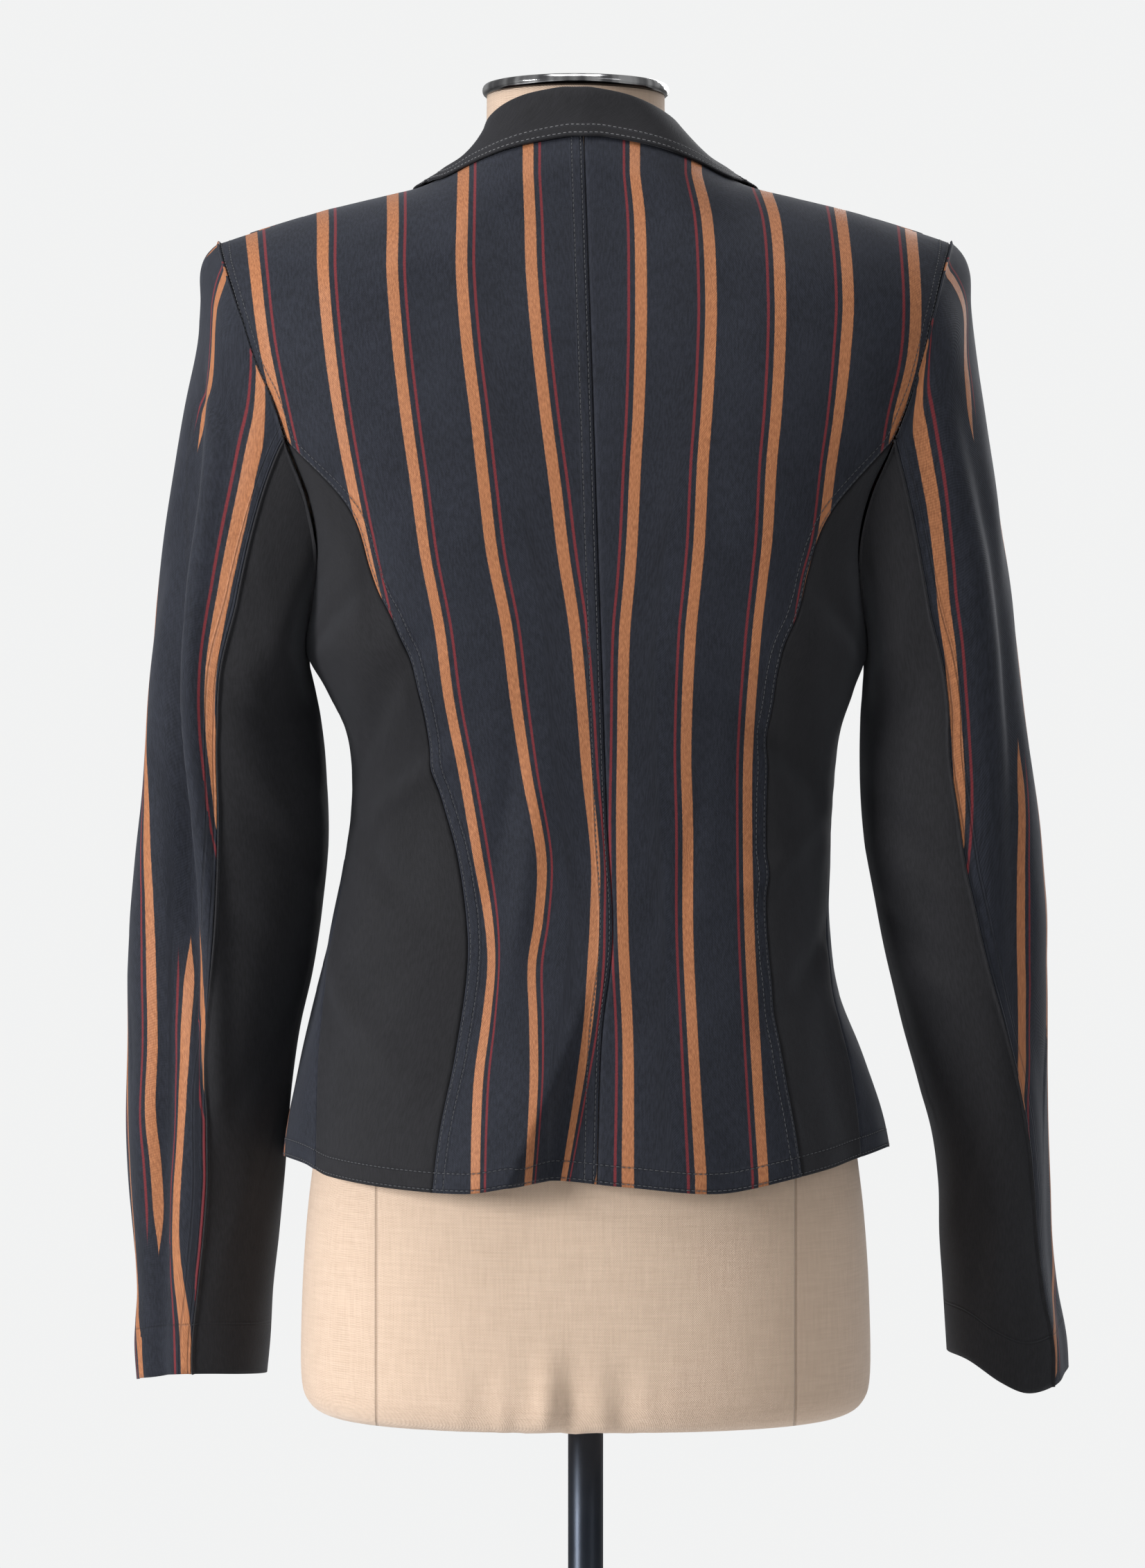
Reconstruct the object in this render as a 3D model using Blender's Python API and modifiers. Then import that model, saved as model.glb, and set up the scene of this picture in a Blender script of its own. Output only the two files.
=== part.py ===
"""A short fitted blazer on a limbless dress form.

The wearer's right is +X, the wearer's front is +Y and +Z is up, with the origin on the floor
under the middle of the form. The cloth is a thin wall on smooth surfaces: the body is read
from a table of horizontal sections and a shoulder line, each sleeve from a table of rings.
Every panel is a grid between its own seams on those surfaces, so that neighbours share their
seam and stay a small gap apart.
"""

import math
from collections import namedtuple

import bmesh
import bpy
from mathutils import Vector

MM = 0.001

# Cloth
WALL = 1.2 * MM
SEAM_PULL = 0.34 * MM
RIDGE_PULL = 0.5 * MM
SLEEVE_PULL = 0.3 * MM
LAYER_GAP = 0.6 * MM
OVERLAP_LIFT = 2.6 * MM

# Main heights above the floor
ARMHOLE_TOP = 1405 * MM
ARMHOLE_FOOT = 1177 * MM
JOIN_HEIGHT = 0.5 * (ARMHOLE_TOP + ARMHOLE_FOOT)
ARMHOLE_RISE = 0.5 * (ARMHOLE_TOP - ARMHOLE_FOOT)
NAPE_HEIGHT = 1462 * MM
NECK_POINT_ACROSS = 70 * MM
BLADE_HEIGHT = 1300 * MM
BUST_HEIGHT = 1190 * MM
BREAK_HEIGHT = 1200 * MM
CUTAWAY_HEIGHT = 985 * MM
CUTAWAY = 34 * MM
BUTTON_STAND = 15 * MM
SHOULDER_CROWN = 55 * MM

# How the edges curve, as powers of a share, and where the hem levels off
NAPE_CURVE = 3.2
LAPEL_CURVE = 0.92
CUTAWAY_CURVE = 2.2
HEM_LEVEL_FROM, HEM_LEVEL_OVER = 75, 60

# Where the upper front stands clear of the under front
OVERLAP_ACROSS, OVERLAP_FADE = 28 * MM, 40 * MM
OVERLAP_TOP, OVERLAP_TOP_FADE = BREAK_HEIGHT + 20 * MM, 50 * MM

# Grid steps
ARMHOLE_STEP = 15
HEM_ROWS = 12
NECK_COLUMNS = 3
SHOULDER_COLUMNS = 6
CAP_ROWS = 8
ARM_ROWS = 10
SIDE_SEAM_ANGLE = 195

LEFT, RIGHT = -1, 1
BACK, FRONT = -1, 1

Section = namedtuple("Section", "height left right back front square")
BODY = [
    Section(870, 166, 167, 131, 120, 2.4),
    Section(905, 164, 165, 128, 118, 2.4),
    Section(950, 157, 154, 120, 112, 2.4),
    Section(990, 149, 141, 108, 104, 2.4),
    Section(1030, 140, 136, 96, 98, 2.4),
    Section(1075, 132, 136.5, 90, 96, 2.4),
    Section(1110, 130, 138.5, 94, 103, 2.4),
    Section(1135, 134, 142, 101, 112, 2.5),
    Section(1155, 144, 149, 107, 120, 2.6),
    Section(1177, 155, 156, 111, 126, 2.8),
    Section(1205, 154, 156, 114, 127, 3.0),
    Section(1235, 157, 160, 116, 122, 3.0),
    Section(1261, 166, 170, 117, 114, 3.0),
    Section(1292, 182, 188, 116, 102, 3.0),
    Section(1338, 197, 201, 111, 85, 3.0),
    Section(1382, 206, 206, 101, 70, 3.0),
    Section(1410, 212, 212, 92, 62, 2.8),
    Section(1440, 212, 212, 84, 54, 2.6),
    Section(1470, 212, 212, 75, 48, 2.6),
]

Ridge = namedtuple("Ridge", "across height")
SHOULDER = [
    Ridge(0, 1492),
    Ridge(40, 1477),
    Ridge(70, 1449),
    Ridge(87, 1438),
    Ridge(115, 1430.5),
    Ridge(146, 1423),
    Ridge(173, 1415),
    Ridge(204, 1405),
    Ridge(218, 1400),
]

Seam = namedtuple("Seam", "height across")
CENTRE_BACK = [
    Seam(880, 5),
    Seam(968, 8),
    Seam(1023, 14),
    Seam(1084, 11),
    Seam(1227, 6),
    Seam(1350, 2),
    Seam(1470, -2),
]
PRINCESS = {
    LEFT: [
        Seam(880, 77),
        Seam(918, 75),
        Seam(960, 69),
        Seam(1013, 64),
        Seam(1062, 69),
        Seam(1110, 82),
        Seam(1148, 89),
        Seam(1190, 103),
        Seam(1212, 114),
        Seam(1253, 128),
        Seam(1291, 163),
    ],
    RIGHT: [
        Seam(880, 117),
        Seam(918, 112),
        Seam(963, 105),
        Seam(1023, 98.5),
        Seam(1066, 98),
        Seam(1100, 98.5),
        Seam(1145, 101),
        Seam(1176, 106),
        Seam(1198, 115),
        Seam(1236, 125),
        Seam(1256, 136),
        Seam(1291, 167),
    ],
}
ARMHOLE_BACK = {
    LEFT: [
        Seam(1280, 159),
        Seam(1291, 163),
        Seam(1314, 171),
        Seam(1336, 181),
        Seam(1358, 188),
        Seam(1382, 196),
        Seam(1405, 204),
    ],
    RIGHT: [
        Seam(1280, 162),
        Seam(1291, 167),
        Seam(1317, 178),
        Seam(1341, 185),
        Seam(1356, 188.5),
        Seam(1383, 195.5),
        Seam(1405, 203),
    ],
}
ARMHOLE_FRONT = [
    Seam(1280, 161),
    Seam(1291, 163),
    Seam(1320, 170),
    Seam(1348, 179),
    Seam(1382, 193),
    Seam(1405, 203.5),
]

Turn = namedtuple("Turn", "height degrees")
SIDE_SEAM = [
    Turn(880, 65),
    Turn(905, 67),
    Turn(950, 71),
    Turn(1010, 77),
    Turn(1060, 84),
    Turn(1110, 89),
    Turn(1181, 96),
]

HemPoint = namedtuple("HemPoint", "across height")
HEM = [
    HemPoint(-180, 905),
    HemPoint(-160, 898),
    HemPoint(-140, 892),
    HemPoint(-60, 887),
    HemPoint(-20, 893),
    HemPoint(20, 890),
    HemPoint(70, 886),
    HemPoint(105, 892),
    HemPoint(150, 901),
    HemPoint(180, 910),
]
FRONT_HEM = 888 * MM

# Soft folds of the body, as a ridge (positive) or trough that grows towards the hem.
Fold = namedtuple("Fold", "degrees before after top depth")
FOLDS = [
    Fold(-11, 20, 4.5, 1020, 11),
    Fold(-3, 3.5, 5, 1010, -5),
    Fold(-70, 8, 12, 1030, -4),
    Fold(-106, 16, 20, 1060, 6),
    Fold(62, 9, 9, 1010, -3),
    Fold(88, 12, 14, 1000, 4),
]

Ring = namedtuple("Ring", "height outer inner centre depth seam")
SLEEVE = {
    LEFT: [
        Ring(762, 255, 183, 55, 42, 88),
        Ring(790, 257, 180, 51, 43, 88),
        Ring(820, 255, 177.5, 45, 44, 90),
        Ring(850, 256, 174, 38, 45, 93),
        Ring(880, 257.5, 171, 31, 46, 95),
        Ring(910, 258, 168.5, 24, 48, 94),
        Ring(940, 257, 165, 18, 49.5, 92),
        Ring(970, 255.5, 160, 13, 50.5, 90),
        Ring(1000, 254, 153, 9, 51, 88),
        Ring(1030, 252, 148, 6, 52, 86),
        Ring(1060, 249, 145, 4, 54, 84),
        Ring(1090, 246, 144.5, 2, 56, 83),
        Ring(1120, 244, 147, 1, 60, 83),
        Ring(1150, 242, 151, 0, 63, 85),
        Ring(1177, 240, 153.5, 0, 66, 87),
        Ring(1230, 235, 153, 0, 70, 89),
        Ring(1291, 226, 155, 0, 71, 90),
        Ring(1348, 215.5, 158, 0, 63, 90),
        Ring(1371, 213.5, 160, 0, 54, 90),
        Ring(1390, 214.5, 162, 0, 41, 90),
        Ring(1406, 213.5, 164, 0, 24, 90),
    ],
    RIGHT: [
        Ring(762, 274, 208, 55, 45, 52),
        Ring(790, 272, 206, 51, 46, 49),
        Ring(820, 266, 203.5, 45, 48, 51),
        Ring(850, 262, 201, 38, 50, 53),
        Ring(880, 260.5, 200, 31, 52, 56),
        Ring(910, 259, 195.5, 24, 54, 59),
        Ring(940, 258, 186.5, 18, 55, 64),
        Ring(970, 257, 177, 13, 55.5, 71),
        Ring(1000, 256, 169, 9, 56, 78),
        Ring(1030, 254.5, 163, 6, 56, 83),
        Ring(1060, 252, 158.5, 4, 57, 87),
        Ring(1090, 249.5, 155, 2, 58, 89),
        Ring(1120, 246.5, 154, 1, 60, 92),
        Ring(1150, 243, 154.5, 0, 63, 91),
        Ring(1177, 240, 155, 0, 66, 90),
        Ring(1230, 233, 154, 0, 70, 90),
        Ring(1291, 224, 156, 0, 71, 90),
        Ring(1348, 215, 158, 0, 63, 90),
        Ring(1371, 212.5, 160, 0, 54, 90),
        Ring(1390, 213, 162, 0, 41, 90),
        Ring(1406, 212.5, 164, 0, 24, 90),
    ],
}
CAP_FOOT = 1140 * MM
CAP_CURVE = 1.8
CAP_FADE, CAP_FADE_BEHIND, CAP_FADE_INSIDE = 7 * MM, 75 * MM, 6 * MM
LAP_FROM, LAP_OVER = 0.35, 0.6
CUFF_HEIGHT = 768 * MM
CUFF_RISE_BEHIND = {LEFT: 4 * MM, RIGHT: 0.0}
CUFF_RISE_INSIDE = {LEFT: 0.0, RIGHT: 8 * MM}
FRONT_SLEEVE_SEAM = 240
SLEEVE_SET = 0.45 * MM

# Long creases down a sleeve: where it lies round the arm, and the heights it runs between.
Crease = namedtuple("Crease", "degrees spread top full_top full_foot foot depth")
CREASES = {
    LEFT: [
        Crease(48, 13, 1330, 1130, 960, 860, 9),
        Crease(150, 30, 1060, 1020, 1000, 950, 3),
    ],
    RIGHT: [
        Crease(38, 15, 1320, 1180, 1000, 900, 3.5),
        Crease(170, 30, 1060, 1020, 1000, 950, 3),
    ],
}

# Collar, by the angle round the neck: the neck seam, the fold line and the outer edge.
# A seam or an edge lies on the body, so only the fold states how far along it is.
Collar = namedtuple(
    "Collar", "degrees seam_across seam_height fold_across fold_along fold_height edge_across edge_height"
)
COLLAR = [
    Collar(0, 0, 1462.6, 0, -60, 1486, 0, 1455.5),
    Collar(30, 32, 1462.2, 31, -53, 1485.5, 39, 1450),
    Collar(55, 53, 1459.5, 50, -36, 1482, 63, 1442.5),
    Collar(73, 64.5, 1453, 59.5, -16, 1475, 80, 1436.5),
    Collar(90, 68.9, 1450.1, 63, 4, 1467, 92, 1437.5),
    Collar(110, 68.2, 1440, 66, 31, 1449, 101, 1428),
    Collar(130, 66.8, 1424, 67.5, 51.5, 1431, 106, 1412),
    Collar(150, 66, 1405, 67, 64.5, 1409, 106, 1391),
]
COLLAR_STEPS = 24
COLLAR_CLEAR = 2.4 * MM
SEAM_CLEAR = 0.9 * MM
FOLD_RADIUS = 3.2 * MM
FOLD_FULL_RISE = 12 * MM
STAND_SHARE, FALL_SHARE = 0.55, 0.62
STAND_BOW, FALL_BOW = 0.3 * MM, 1.0 * MM
NECK_SHIFT = -3 * MM
NECK_SHIFT_FROM, NECK_SHIFT_OVER = 1455 * MM, 30 * MM

LapelRow = namedtuple("LapelRow", "height width")
LAPEL = [
    LapelRow(1402, 4),
    LapelRow(1390, 42),
    LapelRow(1374, 59),
    LapelRow(1350, 57),
    LapelRow(1310, 48),
    LapelRow(1270, 33),
    LapelRow(1248, 18),
    LapelRow(1237, 4),
]
LAPEL_COLUMNS = 6
LAPEL_NOTCH_DROP = 9 * MM
NOTCH_FROM, NOTCH_OVER = 1380 * MM, 22 * MM
LAPEL_ROLL = 3.5 * MM
GORGE_ACROSS = 68 * MM
BUTTON_HEIGHTS = (1165 * MM, 1075 * MM)
BUTTON_RADIUS = 10 * MM
BUTTON_THICK = 3 * MM
BUTTON_CLEAR = 0.6 * MM

# A button's outline from its middle to its back, as shares of its radius and thickness
ButtonRim = namedtuple("ButtonRim", "radius height")
BUTTON_RIM = [
    ButtonRim(0.0, 0.7),
    ButtonRim(0.55, 0.7),
    ButtonRim(0.75, 1.0),
    ButtonRim(0.95, 0.85),
    ButtonRim(1.0, 0.45),
    ButtonRim(0.9, 0.0),
    ButtonRim(0.0, 0.0),
]
BUTTON_STEPS = 20

# Dress form
FormSection = namedtuple("FormSection", "height half back front")
FORM = [
    FormSection(755.0, 128, 92, 88),
    FormSection(756.5, 144, 106, 102),
    FormSection(763, 154, 114, 109),
    FormSection(778, 158, 118, 113),
    FormSection(820, 157.5, 119, 114),
    FormSection(855, 155.5, 119.5, 113),
    FormSection(885, 152.5, 119, 111),
    FormSection(930, 146, 113, 105),
    FormSection(980, 134, 101, 97),
    FormSection(1030, 123, 87, 90),
    FormSection(1072, 119, 79, 86),
    FormSection(1115, 121, 83, 95),
    FormSection(1160, 133, 95, 110),
    FormSection(1200, 142, 104, 118),
    FormSection(1235, 148, 108, 112),
    FormSection(1265, 157, 110, 104),
    FormSection(1300, 170, 110, 93),
    FormSection(1340, 182, 106, 78),
    FormSection(1375, 188, 98, 66),
    FormSection(1395, 189, 92, 60),
]
FORM_SQUARE = 2.4
FORM_DROP = 3.7 * MM
FORM_SCALE = 0.953
FORM_SIDES = 28
FORM_SIDE_POWER, ARM_END_POWER = 0.85, 8
CHEST_FROM, CHEST_OVER = 1240 * MM, 60 * MM
SHOULDER_RINGS = (1401.5, 1408, 1415, 1422, 1429, 1435)
NeckRing = namedtuple("NeckRing", "height half back front")
NECK = [
    NeckRing(1441, 72, 71, 52),
    NeckRing(1448, 60, 62, 50),
    NeckRing(1457, 53, 54.5, 49),
    NeckRing(1468, 50, 50.5, 49),
    NeckRing(1487.2, 49.5, 49.5, 49),
]
NECK_LEAN_FROM, NECK_LEAN_OVER = 1435, 25
RIM_HEIGHT = 1491.5 * MM
RIM_RADIUS = 49.8 * MM
RIM_TUBE = 2.2 * MM
RIM_STEPS, RIM_TUBE_STEPS = 36, 8
CAP_RADIUS = 46.8 * MM
CAP_THICK = 3 * MM
POLE_RADIUS = 9.8 * MM
BASE_RADIUS = 165 * MM
BASE_THICK = 12 * MM
SOCKET_RADIUS = 17 * MM
SOCKET_HEIGHT = 45 * MM
BASE_BEVEL = 4 * MM
SOCKET_BEVEL_IN, SOCKET_BEVEL_DOWN = 2 * MM, 3 * MM
STAND_STEPS, SOCKET_STEPS, CAP_STEPS = 40, 24, 32
TOUCH = 0.3 * MM

COLOURS = {
    "navy": ((0.022, 0.028, 0.042), 0.85, 0.0),
    "black": ((0.017, 0.017, 0.020), 0.8, 0.0),
    "horn": ((0.02, 0.018, 0.017), 0.35, 0.0),
    "linen": ((0.56, 0.40, 0.27), 0.9, 0.0),
    "chrome": ((0.75, 0.75, 0.76), 0.12, 1.0),
    "gunmetal": ((0.03, 0.04, 0.055), 0.4, 0.8),
}


def read(table, column, at, key="height"):
    """One column of a table at a given key, in metres, on a smooth curve through the rows."""
    keys = [getattr(row, key) * MM for row in table]
    values = [getattr(row, column) for row in table]
    last = len(keys) - 1
    at = min(max(at, keys[0]), keys[last])
    spot = 0
    while spot < last - 1 and at > keys[spot + 1]:
        spot += 1
    width = keys[spot + 1] - keys[spot]
    part = (at - keys[spot]) / width

    def slope(row):
        low, high = max(row - 1, 0), min(row + 1, last)
        return (values[high] - values[low]) / (keys[high] - keys[low]) * width

    square, cube = part * part, part**3
    return (
        (2 * cube - 3 * square + 1) * values[spot]
        + (cube - 2 * square + part) * slope(spot)
        + (3 * square - 2 * cube) * values[spot + 1]
        + (cube - square) * slope(spot + 1)
    )


def mix(start, end, part):
    return start + (end - start) * part


def ease(value):
    value = min(max(value, 0.0), 1.0)
    return value * value * (3 - 2 * value)


def bell(offset, spread):
    return math.exp(-((offset / spread) ** 2))


def ridge_height(across):
    return read(SHOULDER, "height", abs(across), "across") * MM


def crown(across, height):
    """How far the body has opened out below the shoulder line, from 0 on it to 1."""
    drop = min(max((ridge_height(across) - height) / SHOULDER_CROWN, 0.0), 1.0)
    return math.sqrt(1 - (1 - drop) ** 2)


def half_width(side, height):
    return read(BODY, "right" if side > 0 else "left", height) * MM


def body_point(turn, height):
    """The body's surface: turn 0 is the middle of the back, +90 the wearer's right side."""
    side = RIGHT if turn >= 0 else LEFT
    sine = abs(math.sin(math.radians(turn)))
    face = "back" if abs(turn) <= 90 else "front"
    square = read(BODY, "square", height)
    across = side * half_width(side, height) * sine
    depth = read(BODY, face, height) * MM * max(0.0, 1 - sine**square) ** (1 / square)
    depth *= crown(across, height)
    along = -depth if face == "back" else depth
    return folded(Vector((across, along, height)), turn)


def folded(point, turn):
    outward = Vector((point.x, point.y, 0.0)).normalized()
    shift = 0.0
    for fold in FOLDS:
        offset = turn - fold.degrees
        spread = fold.before if offset < 0 else fold.after
        growth = ease((fold.top * MM - point.z) / (fold.top * MM - HEM[0].height * MM))
        shift += fold.depth * MM * bell(offset, spread) * growth
    return point + outward * shift


def turn_at(across, height, face=BACK):
    """The turn whose point lies this far across, on the back or on the front."""
    side = RIGHT if across >= 0 else LEFT
    sine = min(abs(across) / half_width(side, height), 1.0)
    turn = math.degrees(math.asin(sine))
    return side * (turn if face == BACK else 180 - turn)


def turn_at_depth(side, depth, height, face):
    """The turn on one side whose point lies this deep behind or before the middle."""
    column = "back" if face == BACK else "front"
    square = read(BODY, "square", height)
    share = min(depth / (read(BODY, column, height) * MM), 1.0)
    turn = math.degrees(math.asin(max(0.0, 1 - share**square) ** (1 / square)))
    return side * (turn if face == BACK else 180 - turn)


def armhole(side, degrees):
    """(turn, height) on the armhole: 0 at its top, 90 at the back, 180 under the arm."""
    degrees %= 360
    height = JOIN_HEIGHT + ARMHOLE_RISE * math.cos(math.radians(degrees))
    face = BACK if degrees <= 180 else FRONT
    upper = ARMHOLE_BACK[side] if face == BACK else ARMHOLE_FRONT
    if degrees <= 90 or degrees >= 270:
        across = side * read(upper, "across", height) * MM
        return turn_at(across, height, face), height
    widest = side * read(upper, "across", JOIN_HEIGHT) * MM
    reach = abs(body_point(turn_at(widest, JOIN_HEIGHT, face), JOIN_HEIGHT).y)
    depth = reach * abs(math.sin(math.radians(degrees)))
    return turn_at_depth(side, depth, height, face), height


def hem_height(turn):
    """The hem, which follows the back's outline and levels off at the front."""
    across = half_width(RIGHT if turn >= 0 else LEFT, HEM[0].height * MM)
    across *= math.sin(math.radians(turn))
    back = read(HEM, "height", across, "across") * MM
    return mix(back, FRONT_HEM, ease((abs(turn) - HEM_LEVEL_FROM) / HEM_LEVEL_OVER))


def patch(rows, columns, first, last, top, foot):
    """A grid of (turn, height) between four seams that meet at their corners."""
    grid = []
    for row in range(rows + 1):
        down = row / rows
        line = []
        for column in range(columns + 1):
            over = column / columns
            spot = []
            for axis in (0, 1):
                sides = mix(first[row][axis], last[row][axis], over)
                ends = mix(top[column][axis], foot[column][axis], down)
                corners = mix(
                    mix(first[0][axis], last[0][axis], over),
                    mix(first[rows][axis], last[rows][axis], over),
                    down,
                )
                spot.append(sides + ends - corners)
            line.append(tuple(spot))
        grid.append(line)
    return grid


def seam_down(turn_of, start, end_turn, rows):
    """A seam from a height down to the hem, evenly stepped."""
    end = hem_height(end_turn)
    heights = [mix(start, end, row / rows) for row in range(rows + 1)]
    return [(turn_of(height), height) for height in heights]


def princess_turn(side):
    return lambda height: turn_at(side * read(PRINCESS[side], "across", height) * MM, height)


def side_turn(side):
    return lambda height: side * read(SIDE_SEAM, "degrees", height)


def princess_seam(side):
    foot = princess_turn(side)(HEM[3].height * MM)
    return seam_down(princess_turn(side), JOIN_HEIGHT, foot, HEM_ROWS)


def side_seam(side):
    start = armhole(side, SIDE_SEAM_ANGLE)
    foot = side_turn(side)(HEM[1].height * MM)
    seam = seam_down(side_turn(side), start[1], foot, HEM_ROWS)
    seam[0] = start
    return seam


def armhole_run(side, start, end):
    step = ARMHOLE_STEP if end > start else -ARMHOLE_STEP
    return [armhole(side, degrees) for degrees in range(start, end + step, step)]


def neck_height(across):
    """The neck seam's height behind, from the nape to the neck point."""
    share = min(abs(across) / NECK_POINT_ACROSS, 1.0)
    return mix(NAPE_HEIGHT, ridge_height(NECK_POINT_ACROSS), share**NAPE_CURVE)


def shoulder_line(side):
    """The shoulder seam from the neck point to the armhole."""
    end = abs(read(ARMHOLE_BACK[side], "across", ARMHOLE_TOP)) * MM
    line = []
    for step in range(SHOULDER_COLUMNS + 1):
        across = mix(NECK_POINT_ACROSS, end, step / SHOULDER_COLUMNS)
        line.append((side * across, ridge_height(across)))
    return line


def stepped(top, middle, foot, degrees, rows):
    """Heights that step down as the armhole's do to the middle, and then evenly to the foot."""
    curved = degrees // ARMHOLE_STEP
    heights = []
    for row in range(rows + 1):
        if row <= curved:
            fall = 1 - math.cos(math.radians(row * ARMHOLE_STEP))
            heights.append(mix(top, middle, fall / (1 - math.cos(math.radians(degrees)))))
        else:
            heights.append(mix(middle, foot, (row - curved) / (rows - curved)))
    return heights


def back_grid(side):
    last = armhole_run(side, 0, 90) + princess_seam(side)[1:]
    rows = len(last) - 1
    foot_height = hem_height(0.0)
    first = []
    for height in stepped(NAPE_HEIGHT, BLADE_HEIGHT, foot_height, 90, rows):
        across = read(CENTRE_BACK, "across", height) * MM
        first.append((turn_at(across, height), height))
    start = read(CENTRE_BACK, "across", NAPE_HEIGHT) * MM
    top = []
    for step in range(NECK_COLUMNS):
        across = mix(start, side * NECK_POINT_ACROSS, step / NECK_COLUMNS)
        height = neck_height(across)
        top.append((turn_at(across, height), height))
    top += [(turn_at(across, height), height) for across, height in shoulder_line(side)]
    columns = len(top) - 1
    first[0], top[0] = top[0], top[0]
    last[0] = top[-1]
    foot = []
    for column in range(columns + 1):
        turn = mix(first[-1][0], last[-1][0], column / columns)
        foot.append((turn, hem_height(turn)))
    first[-1], last[-1] = foot[0], foot[-1]
    return patch(rows, columns, first, last, top, foot)


def side_grid(side):
    first, last = princess_seam(side), side_seam(side)
    top = armhole_run(side, 90, SIDE_SEAM_ANGLE)
    first[0] = top[0]
    columns = len(top) - 1
    foot = []
    for column in range(columns + 1):
        turn = mix(first[-1][0], last[-1][0], column / columns)
        foot.append((turn, hem_height(turn)))
    first[-1], last[-1] = foot[0], foot[-1]
    return patch(HEM_ROWS, columns, first, last, top, foot)


def front_edge(side, height):
    """How far across the front's inner edge lies: neck, lapel fold, overlap, then cutaway."""
    past = -BUTTON_STAND
    gorge_height = LAPEL[0].height * MM
    if height > gorge_height:
        share = (height - gorge_height) / (ridge_height(NECK_POINT_ACROSS) - gorge_height)
        return side * mix(GORGE_ACROSS, NECK_POINT_ACROSS, share)
    if height > BREAK_HEIGHT:
        share = (height - BREAK_HEIGHT) / (gorge_height - BREAK_HEIGHT)
        return side * mix(past, GORGE_ACROSS, share**LAPEL_CURVE)
    away = max(0.0, (CUTAWAY_HEIGHT - height) / (CUTAWAY_HEIGHT - FRONT_HEM))
    return side * (past + (CUTAWAY + BUTTON_STAND) * away**CUTAWAY_CURVE)


def front_grid(side):
    last = armhole_run(side, 360, SIDE_SEAM_ANGLE) + side_seam(side)[1:]
    rows = len(last) - 1
    shoulder = shoulder_line(side)
    top = [(turn_at(across, height, FRONT), height) for across, height in shoulder]
    columns = len(top) - 1
    start = shoulder[0][1]
    first = []
    for height in stepped(start, BUST_HEIGHT, FRONT_HEM, 360 - SIDE_SEAM_ANGLE, rows):
        first.append((front_turn(side, front_edge(side, height), height), height))
    last[0], first[0] = top[-1], top[0]
    foot = []
    for column in range(columns + 1):
        turn = mix(first[-1][0], last[-1][0], column / columns)
        foot.append((turn, hem_height(turn)))
    foot[0], last[-1] = first[-1], foot[-1]
    return patch(rows, columns, first, last, top, foot)


def front_turn(side, across, height):
    """A turn on the front, counted on from this side's 90 past the middle at 180."""
    turn = turn_at(across, height, FRONT)
    return turn if turn * side > 0 else turn + side * 360


def wrap(turn):
    return (turn + 180) % 360 - 180


def placed(grid):
    return [[body_point(wrap(turn), height) for turn, height in line] for line in grid]


def overlap_lift(point):
    """How far the upper front stands clear of the under front where they cross."""
    near = 1 - ease((point.x - OVERLAP_ACROSS) / OVERLAP_FADE)
    low = 1 - ease((point.z - OVERLAP_TOP) / OVERLAP_TOP_FADE)
    return OVERLAP_LIFT * near * low if point.y > 0 else 0.0


def overlapped(points):
    for line in points:
        for point in line:
            point.y += overlap_lift(point)
    return points


def pulled(points, first=0.0, last=0.0, top=0.0, foot=0.0):
    """Draws each edge of a grid in by its own small distance, towards the grid's inside."""
    for line in points:
        line[0] += (line[1] - line[0]).normalized() * first
        line[-1] += (line[-2] - line[-1]).normalized() * last
    for column in range(len(points[0])):
        upper, lower = points[0][column], points[-1][column]
        points[0][column] = upper + (points[1][column] - upper).normalized() * top
        points[-1][column] = lower + (points[-2][column] - lower).normalized() * foot
    return points


def sleeve_ring(side, degrees, height):
    """A sleeve's surface on a level ring: 0 is the outside, 90 the back, 180 the inside."""
    outer = read(SLEEVE[side], "outer", height) * MM
    inner = read(SLEEVE[side], "inner", height) * MM
    centre = read(SLEEVE[side], "centre", height) * MM
    depth = read(SLEEVE[side], "depth", height) * MM
    angle = math.radians(degrees)
    middle, reach = 0.5 * (outer + inner), 0.5 * (outer - inner)
    squeeze = 0.0
    for crease in CREASES[side]:
        falling = ease((crease.top * MM - height) / ((crease.top - crease.full_top) * MM))
        rising = ease((height - crease.foot * MM) / ((crease.full_foot - crease.foot) * MM))
        offset = (degrees - crease.degrees + 180) % 360 - 180
        squeeze += crease.depth * MM * bell(offset, crease.spread) * falling * rising
    reach_out = Vector((reach * math.cos(angle), -depth * math.sin(angle), 0.0))
    reach_out *= 1 - squeeze / reach_out.length
    return Vector((side * (middle + reach_out.x), centre + reach_out.y, height))


def cuff_height(side, degrees):
    angle = math.radians(degrees)
    rise = CUFF_RISE_BEHIND[side] * math.sin(angle)
    return CUFF_HEIGHT + rise - CUFF_RISE_INSIDE[side] * math.cos(angle)


def sleeve_point(side, degrees, row):
    """Rows 0 to CAP_ROWS come down from the armhole to a level ring, the rest to the cuff."""
    if row >= CAP_ROWS:
        down = (row - CAP_ROWS) / ARM_ROWS
        return sleeve_ring(side, degrees, mix(CAP_FOOT, cuff_height(side, degrees), down))
    edge = armhole_edge(side, degrees)
    height = mix(edge.z, CAP_FOOT, (row / CAP_ROWS) ** CAP_CURVE)
    angle = math.radians(degrees)
    fade = CAP_FADE + CAP_FADE_BEHIND * math.sin(angle) ** 2
    fade += CAP_FADE_INSIDE * (1 - math.cos(angle))
    shift = edge - sleeve_ring(side, degrees, edge.z)
    shift.z = 0.0
    return sleeve_ring(side, degrees, height) + shift * math.exp(-(edge.z - height) / fade)


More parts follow.
